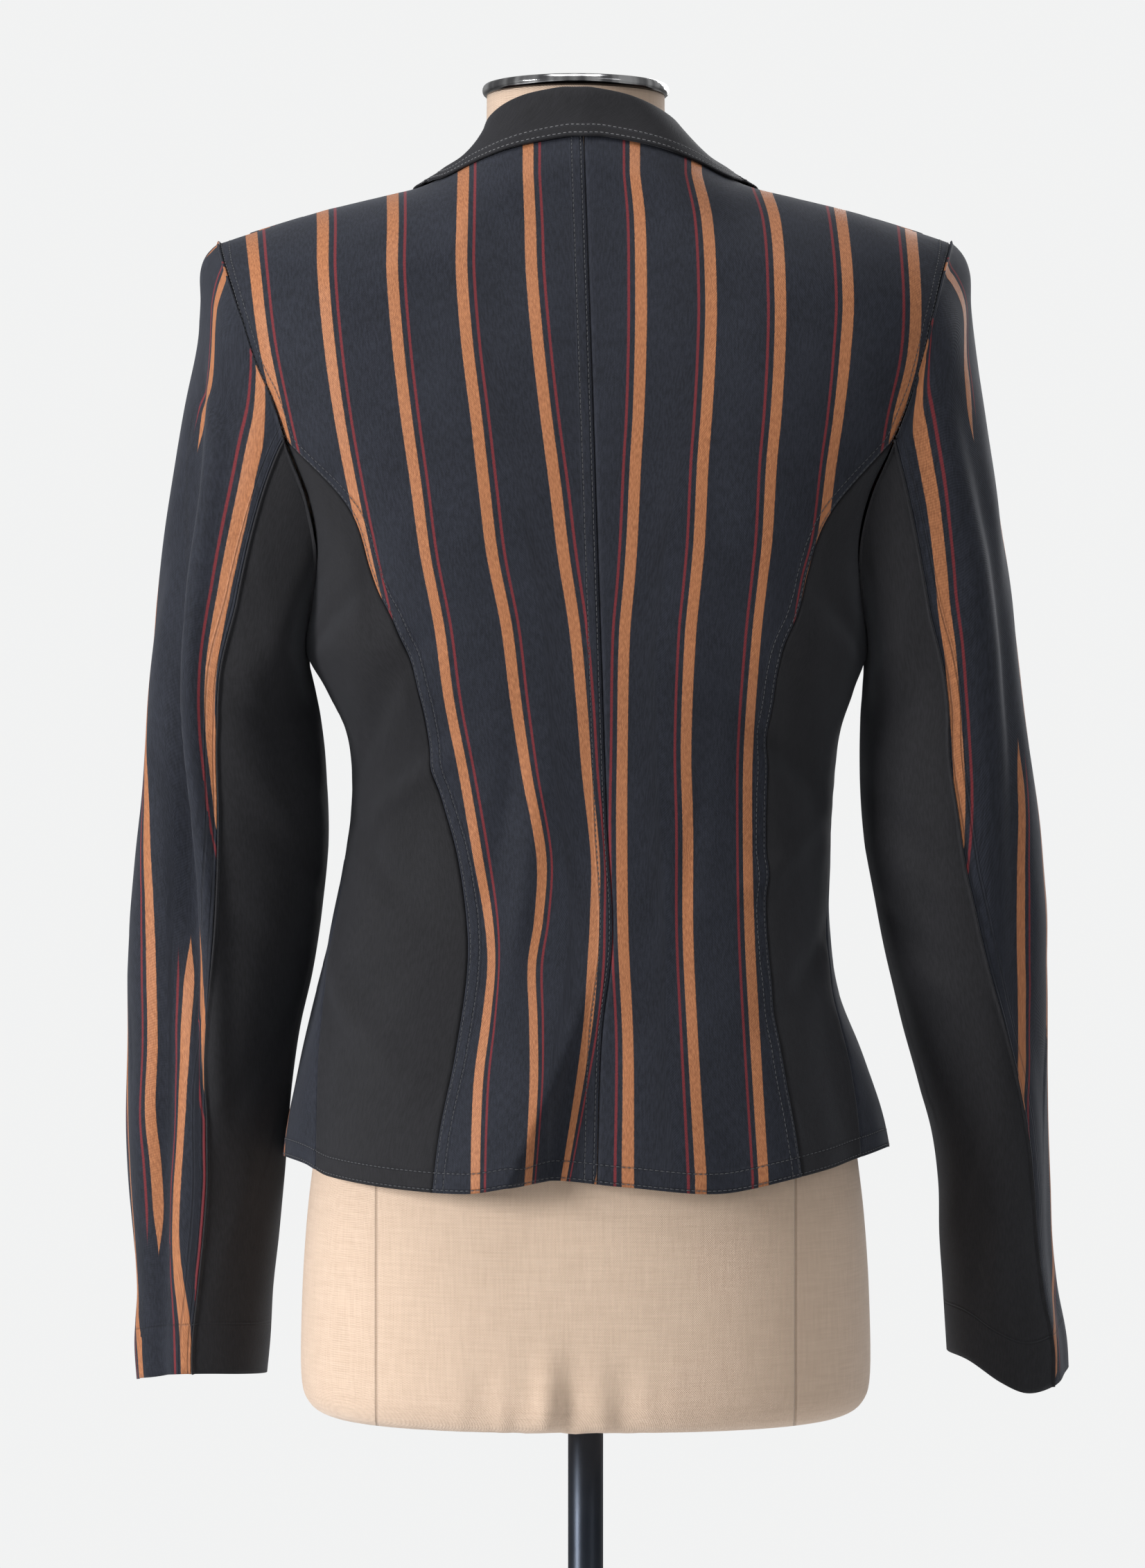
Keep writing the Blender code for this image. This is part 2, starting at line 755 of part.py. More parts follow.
def armhole_edge(side, degrees):
    """Where the sleeve starts: beside the body's edge above, and lapped over it below."""
    low = math.floor(degrees / ARMHOLE_STEP) * ARMHOLE_STEP
    part = (degrees - low) / ARMHOLE_STEP
    return lapped(side, low).lerp(lapped(side, low + ARMHOLE_STEP), part)


def lapped(side, degrees):
    turn, height = armhole(side, degrees)
    point = body_point(turn, height)
    across = body_point(turn + 1, height) - body_point(turn - 1, height)
    outward = Vector((across.y, -across.x, 0.0)).normalized()
    lap = ease((LAP_FROM - math.cos(math.radians(degrees))) / LAP_OVER)
    return point + outward * (WALL + SLEEVE_SET) * lap + Vector((side * SLEEVE_SET, 0.0, 0.0))


def back_sleeve_seam(side, row):
    """The turn of the seam behind the arm, in each row."""
    if row < CAP_ROWS:
        foot = read(SLEEVE[side], "seam", CAP_FOOT)
        return mix(90.0, foot, row / CAP_ROWS)
    down = (row - CAP_ROWS) / ARM_ROWS
    return read(SLEEVE[side], "seam", mix(CAP_FOOT, CUFF_HEIGHT, down))


def sleeve_grid(side, upper):
    first = FRONT_SLEEVE_SEAM - 360 if upper else FRONT_SLEEVE_SEAM
    columns = abs(first - 90) // ARMHOLE_STEP
    points = []
    for row in range(CAP_ROWS + ARM_ROWS + 1):
        seam = back_sleeve_seam(side, row)
        turns = [mix(seam, first, column / columns) for column in range(columns + 1)]
        points.append([sleeve_point(side, turn, row) for turn in turns])
    return points


def on_body(across, height, face, clear):
    """A point this far across at a height, standing clear of the body's outer face."""
    across, height = across * MM, height * MM
    height = min(height, ridge_height(across) - 0.01 * MM) if clear > 0 else height
    point = body_point(turn_at(across, height, face), height)
    steep = crown(across, height)
    return point + Vector((0.0, face * clear * steep, clear * math.sqrt(1 - steep**2)))


def collar_spots(degrees):
    """The neck seam, fold and outer edge of the wearer's right half at an angle."""
    at = {name: read(COLLAR, name, degrees * MM, "degrees") for name in COLLAR[0]._fields[1:]}
    face = BACK if degrees <= 90 else FRONT
    fold = Vector((at["fold_across"], at["fold_along"], at["fold_height"])) * MM
    seam = on_body(at["seam_across"], at["seam_height"], face, -SEAM_CLEAR)
    edge = on_body(at["edge_across"], at["edge_height"], face, COLLAR_CLEAR)
    return seam, fold, edge


def collar_profile(degrees):
    """Points over the collar from its neck seam, over the fold, to its outer edge."""
    seam, fold, edge = collar_spots(degrees)
    outward = Vector((edge.x - seam.x, edge.y - seam.y, 0.0)).normalized()
    tight = FOLD_RADIUS * min(1.0, max(0.3, (fold.z - seam.z) / FOLD_FULL_RISE))
    lift = Vector((0.0, 0.0, 1.0))
    return [
        seam,
        seam.lerp(fold, STAND_SHARE) - outward * STAND_BOW,
        fold - lift * tight,
        fold + outward * tight,
        fold + outward * 2.2 * tight - lift * tight,
        fold.lerp(edge, FALL_SHARE) + (outward + lift) * FALL_BOW,
        edge,
    ]


def collar_grid():
    widest = COLLAR[-1].degrees
    points = []
    for step in range(COLLAR_STEPS + 1):
        degrees = mix(-widest, widest, step / COLLAR_STEPS)
        side = RIGHT if degrees >= 0 else LEFT
        profile = collar_profile(abs(degrees))
        for point in profile:
            point.x *= side
            point.x += NECK_SHIFT * ease((point.z - NECK_SHIFT_FROM) / NECK_SHIFT_OVER)
        points.append(profile)
    return points


def lapel_grid(side):
    """The turned-back lapel, lying on the front a layer's gap above it."""
    points = []
    for row in LAPEL:
        height = row.height * MM
        start = front_edge(side, height)
        line = []
        for column in range(LAPEL_COLUMNS + 1):
            over = column / LAPEL_COLUMNS
            level = height - LAPEL_NOTCH_DROP * over * ease((height - NOTCH_FROM) / NOTCH_OVER)
            across = start + side * row.width * MM * over
            spot = body_point(wrap(front_turn(side, across, level)), level)
            if side == RIGHT:
                spot.y += overlap_lift(spot)
            spot.y += WALL + LAYER_GAP + LAPEL_ROLL * (1 - over) ** 2
            line.append(spot)
        points.append(line)
    return points


def form_half(height):
    if height <= FORM[-1].height * MM:
        return read(FORM, "half", height) * MM
    low, high = NECK_POINT_ACROSS, 204 * MM
    for _ in range(30):
        middle = 0.5 * (low + high)
        if ridge_height(middle) > height + FORM_DROP:
            low = middle
        else:
            high = middle
    return min(low, FORM[-1].half * MM)


def form_ring(height):
    """One level ring of the form, inside the cloth, with full arm ends at the shoulders."""
    half = form_half(height)
    upper = ease((height - CHEST_FROM) / CHEST_OVER)
    ring = []
    for step in range(FORM_SIDES):
        angle = 2 * math.pi * step / FORM_SIDES
        across = half * math.copysign(abs(math.sin(angle)) ** FORM_SIDE_POWER, math.sin(angle))
        face = "back" if math.cos(angle) >= 0 else "front"
        share = min(abs(across) / half, 1.0)
        plain = read(FORM, face, min(height, FORM[-1].height * MM)) * MM
        plain *= max(0.0, 1 - share**FORM_SQUARE) ** (1 / FORM_SQUARE)
        side = RIGHT if across >= 0 else LEFT
        square = read(BODY, "square", height)
        reach = min(abs(across) / half_width(side, height), 1.0)
        shaped = read(BODY, face, height + FORM_DROP) * MM * (1 - reach**square) ** (1 / square)
        shaped *= crown(across, height + FORM_DROP) * FORM_SCALE
        shaped *= max(0.0, 1 - share**ARM_END_POWER) ** (1 / ARM_END_POWER)
        depth = mix(plain, shaped, upper)
        ring.append(Vector((across, -depth if face == "back" else depth, height)))
    return ring


def neck_ring(row):
    ring = []
    for step in range(FORM_SIDES):
        angle = 2 * math.pi * step / FORM_SIDES
        across = row.half * MM * math.sin(angle)
        across += NECK_SHIFT * ease((row.height - NECK_LEAN_FROM) / NECK_LEAN_OVER)
        depth = (row.back if math.cos(angle) >= 0 else row.front) * MM
        ring.append(Vector((across, -depth * math.cos(angle), row.height * MM)))
    return ring


def material(name):
    found = bpy.data.materials.get(name)
    if found:
        return found
    colour, roughness, metallic = COLOURS[name]
    made = bpy.data.materials.new(name)
    made.use_nodes = True
    shader = made.node_tree.nodes["Principled BSDF"]
    shader.inputs["Base Color"].default_value = (*colour, 1.0)
    shader.inputs["Roughness"].default_value = roughness
    shader.inputs["Metallic"].default_value = metallic
    return made


def add_object(name, mesh, finish, parts):
    mesh.materials.append(material(finish))
    made = bpy.data.objects.new(name, mesh)
    parts.objects.link(made)
    return made


def grid_mesh(name, points, flip=False, closed=False):
    """A sheet of four-sided faces through rows of points."""
    shape = bmesh.new()
    rows = [[shape.verts.new(point) for point in line] for line in points]
    for upper, lower in zip(rows, rows[1:]):
        count = len(upper)
        for column in range(count if closed else count - 1):
            after = (column + 1) % count
            face = [upper[column], lower[column], lower[after], upper[after]]
            shape.faces.new(reversed(face) if flip else face)
    if closed:
        shape.faces.new(reversed(rows[0]) if flip else rows[0])
        shape.faces.new(rows[-1] if flip else reversed(rows[-1]))
    mesh = bpy.data.meshes.new(name)
    shape.to_mesh(mesh)
    shape.free()
    mesh.shade_smooth()
    return mesh


def add_cloth(name, points, finish, parts, flip=False):
    """A panel: its outer face is the grid, and the wall lies inside it."""
    made = add_object(name, grid_mesh(name, points, flip), finish, parts)
    wall = made.modifiers.new("wall", "SOLIDIFY")
    wall.thickness = WALL
    wall.offset = -1.0
    return made


def add_body_panels(parts):
    for side, word in ((LEFT, "left"), (RIGHT, "right")):
        flip = side == LEFT
        back = pulled(placed(back_grid(side)), SEAM_PULL, SEAM_PULL, RIDGE_PULL)
        add_cloth(f"back_{word}", back, "navy", parts, flip)
        flank = pulled(placed(side_grid(side)), SEAM_PULL, SEAM_PULL, SEAM_PULL)
        add_cloth(f"side_{word}", flank, "black", parts, flip)
        front = placed(front_grid(side))
        if side == RIGHT:
            front = overlapped(front)
        front = pulled(front, 0.0, SEAM_PULL, RIDGE_PULL)
        add_cloth(f"front_{word}", front, "navy", parts, not flip)


def add_sleeves(parts):
    for side, word in ((LEFT, "left"), (RIGHT, "right")):
        flip = side == LEFT
        for name, upper, finish in (("top", True, "navy"), ("under", False, "black")):
            points = pulled(sleeve_grid(side, upper), SLEEVE_PULL, SLEEVE_PULL)
            add_cloth(f"{name}_sleeve_{word}", points, finish, parts, flip != upper)


def add_collar(parts):
    add_cloth("collar", collar_grid(), "black", parts)
    for side, word in ((LEFT, "left"), (RIGHT, "right")):
        add_cloth(f"lapel_{word}", lapel_grid(side), "navy", parts, side == RIGHT)


def add_buttons(parts):
    """Two turned buttons on the upper front, over the middle of the front."""
    rim = [(BUTTON_RADIUS * spot.radius, BUTTON_THICK * spot.height) for spot in BUTTON_RIM]
    for number, height in enumerate(BUTTON_HEIGHTS, 1):
        made = add_turned(f"button_{number}", rim, "horn", parts, BUTTON_STEPS)
        half = 0.5 * BUTTON_RADIUS
        above, below = (body_point(180, height + step) for step in (half, -half))
        up = (above - below).normalized()
        out = Vector((0.0, up.z, -up.y))
        middle = above.lerp(below, 0.5)
        middle.y += OVERLAP_LIFT
        made.location = middle + out * BUTTON_CLEAR
        made.rotation_euler = out.to_track_quat("Z", "Y").to_euler()


def add_turned(name, profile, finish, parts, steps):
    """A turned piece: a profile at +X from top to bottom, swept round the upright axis."""
    mesh = bpy.data.meshes.new(name)
    points = [(radius, 0.0, height) for radius, height in profile]
    mesh.from_pydata(points, [(at, at + 1) for at in range(len(points) - 1)], [])
    made = add_object(name, mesh, finish, parts)
    screw = made.modifiers.new("turn", "SCREW")
    screw.steps = screw.render_steps = steps
    screw.use_merge_vertices = True
    screw.merge_threshold = 0.00001
    return made


def add_form(parts):
    rings = [form_ring(row.height * MM) for row in FORM]
    rings += [form_ring(height * MM) for height in SHOULDER_RINGS]
    rings += [neck_ring(row) for row in NECK]
    add_object("form_torso", grid_mesh("form_torso", rings, True, True), "linen", parts)
    top = NECK[-1].height * MM + TOUCH
    lid = [(0.0, CAP_THICK), (CAP_RADIUS, CAP_THICK), (CAP_RADIUS, 0.0), (0.0, 0.0)]
    cap = add_turned("neck_cap", lid, "chrome", parts, CAP_STEPS)
    cap.location = (NECK_SHIFT, 0.0, top)
    bpy.ops.mesh.primitive_torus_add(
        major_segments=RIM_STEPS,
        minor_segments=RIM_TUBE_STEPS,
        major_radius=RIM_RADIUS,
        minor_radius=RIM_TUBE,
        location=(NECK_SHIFT, 0.0, RIM_HEIGHT),
    )
    rim = bpy.context.object
    rim.name = rim.data.name = "neck_rim"
    rim.data.materials.append(material("chrome"))
    for collection in rim.users_collection:
        collection.objects.unlink(rim)
    parts.objects.link(rim)


def add_stand(parts):
    base = [
        (0.0, BASE_THICK),
        (BASE_RADIUS - BASE_BEVEL, BASE_THICK),
        (BASE_RADIUS, BASE_THICK - BASE_BEVEL),
        (BASE_RADIUS, 0.0),
        (0.0, 0.0),
    ]
    add_turned("base_plate", base, "gunmetal", parts, STAND_STEPS)
    foot = BASE_THICK + TOUCH
    socket = [
        (POLE_RADIUS + TOUCH, SOCKET_HEIGHT),
        (SOCKET_RADIUS - SOCKET_BEVEL_IN, SOCKET_HEIGHT),
        (SOCKET_RADIUS, SOCKET_HEIGHT - SOCKET_BEVEL_DOWN),
        (SOCKET_RADIUS, 0.0),
        (POLE_RADIUS + TOUCH, 0.0),
        (POLE_RADIUS + TOUCH, SOCKET_HEIGHT),
    ]
    add_turned("pole_socket", socket, "gunmetal", parts, SOCKET_STEPS).location.z = foot
    top = FORM[0].height * MM - TOUCH
    pole = [(0.0, top - foot), (POLE_RADIUS, top - foot), (POLE_RADIUS, 0.0), (0.0, 0.0)]
    add_turned("pole", pole, "gunmetal", parts, SOCKET_STEPS).location.z = foot


def main():
    for found in list(bpy.data.objects):
        bpy.data.objects.remove(found, do_unlink=True)
    parts = bpy.data.collections.new("blazer_on_dress_form")
    bpy.context.scene.collection.children.link(parts)
    add_body_panels(parts)
    add_sleeves(parts)
    add_collar(parts)
    add_buttons(parts)
    add_form(parts)
    add_stand(parts)


main()
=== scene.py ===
import math
from collections import namedtuple

import bmesh
import bpy
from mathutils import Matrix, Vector, noise


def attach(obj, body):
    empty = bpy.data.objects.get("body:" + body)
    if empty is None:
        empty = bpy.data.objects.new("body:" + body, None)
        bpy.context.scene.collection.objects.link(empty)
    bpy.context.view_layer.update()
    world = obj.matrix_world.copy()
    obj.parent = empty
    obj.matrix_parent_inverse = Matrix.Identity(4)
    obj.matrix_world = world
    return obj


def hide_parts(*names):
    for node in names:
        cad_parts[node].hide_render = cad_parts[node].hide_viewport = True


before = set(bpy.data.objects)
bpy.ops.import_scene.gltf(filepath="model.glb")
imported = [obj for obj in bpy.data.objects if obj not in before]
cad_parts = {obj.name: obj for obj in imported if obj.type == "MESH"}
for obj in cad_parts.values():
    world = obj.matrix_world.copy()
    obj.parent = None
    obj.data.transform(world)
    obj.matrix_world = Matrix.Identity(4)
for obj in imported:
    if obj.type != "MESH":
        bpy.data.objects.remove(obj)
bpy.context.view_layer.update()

MM = 0.001

# Camera. It stands level behind the form at the height of the waist, 2.85 m away, with a
# long lens, so that the back fills the frame as in the photograph.
CAMERA_PLACE = Vector((-0.0073, -2.85, 1.1045))
LENS = 117.45
SENSOR = 36.0
PHOTO_WIDE, PHOTO_HIGH = 1652, 2263
camera = bpy.data.objects.new("camera", bpy.data.cameras.new("camera"))
camera.data.lens = LENS
camera.data.sensor_width = SENSOR
camera.location = CAMERA_PLACE
camera.rotation_euler = (math.pi / 2, 0.0, 0.0)
bpy.context.collection.objects.link(camera)
bpy.context.scene.camera = camera

# Studio. A pale floor disc and a pale surround, with four square lights: a broad one at the
# left of the camera, a weak one at its right, one above the form and one before it.
FLOOR_RADIUS = 4.0
PALE = (0.885, 0.89, 0.89, 1.0)
AMBIENT = 0.29
world = bpy.data.worlds.new("studio")
world.use_nodes = True
surround = world.node_tree.nodes["Background"]
surround.inputs["Color"].default_value = PALE
seen = world.node_tree.nodes.new("ShaderNodeLightPath")
level = world.node_tree.nodes.new("ShaderNodeMapRange")
level.inputs["To Min"].default_value = AMBIENT
level.inputs["To Max"].default_value = 1.0
world.node_tree.links.new(seen.outputs["Is Camera Ray"], level.inputs["Value"])
world.node_tree.links.new(level.outputs[0], surround.inputs["Strength"])
bpy.context.scene.world = world
bpy.context.scene.view_settings.view_transform = "Standard"


def soft_light(name, place, aim, width, power):
    lamp = bpy.data.lights.new(name, "AREA")
    lamp.shape = "SQUARE"
    lamp.size = width
    lamp.energy = power
    made = bpy.data.objects.new(name, lamp)
    made.location = place
    made.rotation_euler = (Vector(aim) - Vector(place)).to_track_quat("-Z", "Y").to_euler()
    bpy.context.collection.objects.link(made)


soft_light("broad_light", (-3.1, -1.9, 1.7), (0.0, 0.0, 1.05), 1.2, 130.0)
soft_light("side_light", (2.4, -2.4, 2.4), (0.0, 0.0, 1.2), 1.4, 9.0)
soft_light("top_light", (0.0, -0.6, 3.2), (0.0, 0.0, 1.2), 1.4, 26.0)
soft_light("front_light", (1.4, 3.0, 2.2), (0.0, 0.0, 1.1), 1.8, 60.0)


def add_node(tree, kind, settings=None, **inputs):
    """A shader node with its settings; an input is a value or another node's output."""
    made = tree.nodes.new(kind)
    for name, value in (settings or {}).items():
        setattr(made, name, value)
    for name, value in inputs.items():
        name = int(name[1:]) if name[0] == "_" and name[1:].isdigit() else name.replace("_", " ")
        socket = made.inputs[name]
        if isinstance(value, bpy.types.NodeSocket):
            tree.links.new(value, socket)
        else:
            socket.default_value = value
    return made


def calc(tree, operation, *values):
    inputs = {f"_{number}": value for number, value in enumerate(values)}
    return add_node(tree, "ShaderNodeMath", {"operation": operation}, **inputs).outputs[0]


def between(tree, value, low, high):
    """0 below low and 1 above high, with a soft step between them."""
    made = add_node(
        tree, "ShaderNodeMapRange", {"interpolation_type": "SMOOTHSTEP"},
        Value=value, From_Min=low, From_Max=high,
    )
    return made.outputs["Result"]


def fading(tree, value, low, high):
    """1 below low and 0 above high, with a soft step between them."""
    return calc(tree, "SUBTRACT", 1.0, between(tree, value, low, high))


def blended(tree, share, under, over):
    made = add_node(tree, "ShaderNodeMix", {"data_type": "RGBA"})
    for socket, value in ((0, share), (6, under), (7, over)):
        if isinstance(value, bpy.types.NodeSocket):
            tree.links.new(value, made.inputs[socket])
        else:
            made.inputs[socket].default_value = value
    return made.outputs[2]


def speckle(tree, place, scale, detail=2.0):
    return add_node(
        tree, "ShaderNodeTexNoise", None, Vector=place, Scale=scale, Detail=detail
    ).outputs[0]


def new_material(name, roughness, **inputs):
    """A Principled material; returns it, its tree and its shader."""
    made = bpy.data.materials.new(name)
    made.use_nodes = True
    shader = made.node_tree.nodes["Principled BSDF"]
    shader.inputs["Roughness"].default_value = roughness
    for key, value in inputs.items():
        shader.inputs[key.replace("_", " ")].default_value = value
    return made, made.node_tree, shader


def object_place(tree):
    return add_node(tree, "ShaderNodeTexCoord").outputs["Object"]


floor_finish, tree, shader = new_material("floor_paint", 0.9)
grain = speckle(tree, object_place(tree), 3.0)
tone = blended(tree, calc(tree, "MULTIPLY", grain, 0.1), PALE, (0.80, 0.80, 0.80, 1.0))
tree.links.new(tone, shader.inputs["Base Color"])
shape = bmesh.new()
bmesh.ops.create_circle(shape, cap_ends=True, radius=FLOOR_RADIUS, segments=96)
floor_mesh = bpy.data.meshes.new("floor")
shape.to_mesh(floor_mesh)
shape.free()
floor = bpy.data.objects.new("floor", floor_mesh)
floor_mesh.materials.append(floor_finish)
bpy.context.collection.objects.link(floor)

# Base plate. A heavy round cast plate with a bevelled rim, painted dark, which rests on the
# floor. It is turned from one profile.
BASE_RADIUS, BASE_THICK = 165 * MM, 12 * MM


def spread_over(tree, value, low, high):
    """A value from 0 to 1 spread over another range."""
    return add_node(tree, "ShaderNodeMapRange", None, Value=value, To_Min=low, To_Max=high).outputs[0]


stand_paint, tree, shader = new_material("dark_satin_paint", 0.38, Metallic=0.75)
place = object_place(tree)
tone = blended(tree, speckle(tree, place, 60.0), (0.018, 0.024, 0.036, 1), (0.035, 0.042, 0.055, 1))
tree.links.new(tone, shader.inputs["Base Color"])
dull = spread_over(tree, speckle(tree, place, 25.0), 0.30, 0.46)
tree.links.new(dull, shader.inputs["Roughness"])
peel = add_node(
    tree, "ShaderNodeBump", None, Height=speckle(tree, place, 900.0), Strength=0.08, Distance=0.5 * MM
)
tree.links.new(peel.outputs[0], shader.inputs["Normal"])


def finished(name, mesh, material, slot, *nodes):
    """A piece of the object: it rides on the one body and stands for its CAD nodes."""
    mesh.materials.append(material)
    mesh.shade_smooth()
    made = bpy.data.objects.new(name, mesh)
    bpy.context.collection.objects.link(made)
    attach(made, "root")
    if nodes:
        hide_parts(*nodes)
    return made


def turned(name, profile, steps, place=(0.0, 0.0, 0.0)):
    """A mesh turned round the upright axis from a profile of (radius, height)."""
    shape = bmesh.new()
    rings = []
    for radius, height in profile:
        turns = [2 * math.pi * step / steps for step in range(steps)] if radius else [0.0]
        spots = [Vector((radius * math.cos(turn), radius * math.sin(turn), height)) for turn in turns]
        rings.append([shape.verts.new(Vector(place) + spot) for spot in spots])
    for upper, lower in zip(rings, rings[1:]):
        for step in range(steps):
            after = (step + 1) % steps
            face = [upper[step % len(upper)], lower[step % len(lower)]]
            face += [lower[after]] if len(lower) > 1 else []
            face += [upper[after]] if len(upper) > 1 else []
            if len(face) > 2:
                shape.faces.new(face)
    bmesh.ops.recalc_face_normals(shape, faces=shape.faces)
    mesh = bpy.data.meshes.new(name)
    shape.to_mesh(mesh)
    shape.free()
    return mesh


plate = [
    (0.0, BASE_THICK), (BASE_RADIUS - 9 * MM, BASE_THICK), (BASE_RADIUS - 5 * MM, BASE_THICK - 0.4 * MM),
    (BASE_RADIUS - 2 * MM, BASE_THICK - 1.6 * MM), (BASE_RADIUS - 0.4 * MM, BASE_THICK - 3.6 * MM),
    (BASE_RADIUS, BASE_THICK - 6 * MM), (BASE_RADIUS, 1 * MM), (BASE_RADIUS - 0.6 * MM, 0.0), (0.0, 0.0),
]
finished("base_disc", turned("base_disc", plate, 128), stand_paint, "stand_paint", "base_plate")

# Pole socket. A short turned steel collar on the base, which grips the foot of the pole. It
# is painted as the base is.
SOCKET_RADIUS, SOCKET_HEIGHT, POLE_RADIUS = 17 * MM, 57 * MM, 9.8 * MM
socket_profile = [
    (POLE_RADIUS, SOCKET_HEIGHT), (SOCKET_RADIUS - 2.5 * MM, SOCKET_HEIGHT),
    (SOCKET_RADIUS - 0.8 * MM, SOCKET_HEIGHT - 1 * MM), (SOCKET_RADIUS, SOCKET_HEIGHT - 3 * MM),
    (SOCKET_RADIUS, BASE_THICK + 4 * MM), (SOCKET_RADIUS - 0.5 * MM, BASE_THICK + 3 * MM),
    (SOCKET_RADIUS - 0.5 * MM, BASE_THICK + 0.2 * MM), (POLE_RADIUS, BASE_THICK + 0.2 * MM),
    (POLE_RADIUS, SOCKET_HEIGHT),
]
socket_mesh = turned("socket_collar", socket_profile, 64)
finished("socket_collar", socket_mesh, stand_paint, "stand_paint", "pole_socket")

# Pole. A round steel tube that runs from the base up to the form and carries it. It is
# painted as the base is.
POLE_TOP = 754.7 * MM
pole_profile = [
    (0.0, POLE_TOP), (POLE_RADIUS - 0.4 * MM, POLE_TOP), (POLE_RADIUS, POLE_TOP - 0.6 * MM),
    (POLE_RADIUS, BASE_THICK + 0.9 * MM), (POLE_RADIUS - 0.4 * MM, BASE_THICK + 0.3 * MM),
    (0.0, BASE_THICK + 0.3 * MM),
]
finished("steel_pole", turned("steel_pole", pole_profile, 64), stand_paint, "stand_paint", "pole")

# Form body. A smooth limbless torso covered in natural linen, sewn in long panels and
# gathered under the bottom edge. The rings are the CAD form's, filled in smoothly.
Section = namedtuple("Section", "height left right back front square")
BODY = [
    Section(870, 166, 167, 131, 120, 2.4),
    Section(905, 164, 165, 128, 118, 2.4),
    Section(950, 157, 154, 120, 112, 2.4),
    Section(990, 149, 141, 108, 104, 2.4),
    Section(1030, 140, 136, 96, 98, 2.4),
    Section(1075, 132, 136.5, 90, 96, 2.4),
    Section(1110, 130, 138.5, 94, 103, 2.4),
    Section(1135, 134, 142, 101, 112, 2.5),
    Section(1155, 144, 149, 107, 120, 2.6),
    Section(1177, 155, 156, 111, 126, 2.8),
    Section(1205, 154, 156, 114, 127, 3.0),
    Section(1235, 157, 160, 116, 122, 3.0),
    Section(1261, 166, 170, 117, 114, 3.0),
    Section(1292, 182, 188, 116, 102, 3.0),
    Section(1338, 197, 201, 111, 85, 3.0),
    Section(1382, 206, 206, 101, 70, 3.0),
    Section(1410, 212, 212, 92, 62, 2.8),
    Section(1440, 212, 212, 84, 54, 2.6),
    Section(1470, 212, 212, 75, 48, 2.6),
]
Ridge = namedtuple("Ridge", "across height")
SHOULDER = [
    Ridge(0, 1492),
    Ridge(40, 1477),
    Ridge(70, 1449),
    Ridge(87, 1438),
    Ridge(115, 1430.5),
    Ridge(146, 1423),
    Ridge(173, 1415),
    Ridge(204, 1405),
    Ridge(218, 1400),
]
SHOULDER_CROWN = 55 * MM
NECK_POINT_ACROSS = 70 * MM
FormSection = namedtuple("FormSection", "height half back front")
FORM = [
    FormSection(755.0, 128, 92, 88),
    FormSection(756.5, 144, 106, 102),
    FormSection(763, 154, 114, 109),
    FormSection(778, 158, 118, 113),
    FormSection(820, 157.5, 119, 114),
    FormSection(855, 155.5, 119.5, 113),
    FormSection(885, 152.5, 119, 111),
    FormSection(930, 146, 113, 105),
    FormSection(980, 134, 101, 97),
    FormSection(1030, 123, 87, 90),
    FormSection(1072, 119, 79, 86),
    FormSection(1115, 121, 83, 95),
    FormSection(1160, 133, 95, 110),
    FormSection(1200, 142, 104, 118),
    FormSection(1235, 148, 108, 112),
    FormSection(1265, 157, 110, 104),
    FormSection(1300, 170, 110, 93),
    FormSection(1340, 182, 106, 78),
    FormSection(1375, 188, 98, 66),
    FormSection(1395, 189, 92, 60),
]
FORM_SQUARE, FORM_DROP, FORM_SCALE, FORM_SIDES = 2.4, 4.0 * MM, 0.951, 280
SHOULDER_RINGS = (1401.5, 1408, 1415, 1422, 1429, 1435)
NeckRing = namedtuple("NeckRing", "height half back front")
NECK = [
    NeckRing(1441, 72, 71, 52),
    NeckRing(1448, 60, 62, 50),
    NeckRing(1457, 53, 54.5, 49),
    NeckRing(1468, 50, 50.5, 49),
    NeckRing(1487.2, 49.5, 49.5, 49),
]
NECK_SHIFT = -5.5 * MM
FORM_SEAM_ACROSS = 113 * MM
FORM_FOOT, CHEST_FROM, CHEST_OVER, SHOULDER_END = 755 * MM, 1240 * MM, 60 * MM, 204 * MM
NECK_LEAN_FROM, NECK_LEAN_OVER, FORM_EVEN, SHOULDER_SQUARE = 1435, 25, 0.85, 8
GATHER_MIDDLE, GATHER_SPREAD, GATHER_TOP = -14 * MM, 42 * MM, 812 * MM
GATHER_DEPTH, GATHER_IN_FRONT = 9.0 * MM, 0.35


def read(table, column, at, key="height"):
    """One column of a table at a key in metres, on a smooth curve through its rows."""
    last = len(table) - 1
    scale = 1000.0 * at
    scale = min(max(scale, getattr(table[0], key)), getattr(table[last], key))
    spot = 0
    while spot < last - 1 and scale > getattr(table[spot + 1], key):
        spot += 1
    rows = [table[max(spot - 1, 0)], table[spot], table[spot + 1], table[min(spot + 2, last)]]
    keys = [getattr(row, key) for row in rows]
    values = [getattr(row, column) for row in rows]
    width = keys[2] - keys[1]
    part = (scale - keys[1]) / width
    start = (values[2] - values[0]) / (keys[2] - keys[0]) * width
    end = (values[3] - values[1]) / (keys[3] - keys[1]) * width
    square, cube = part * part, part**3
    return (
        (2 * cube - 3 * square + 1) * values[1] + (cube - 2 * square + part) * start
        + (3 * square - 2 * cube) * values[2] + (cube - square) * end
    )


def mix(start, end, part):
    return start + (end - start) * part


def ease(value):
    value = min(max(value, 0.0), 1.0)
    return value * value * (3 - 2 * value)


def bell(offset, spread):
    return math.exp(-((offset / spread) ** 2))


def ridge_height(across):
    return read(SHOULDER, "height", abs(across), "across") * MM


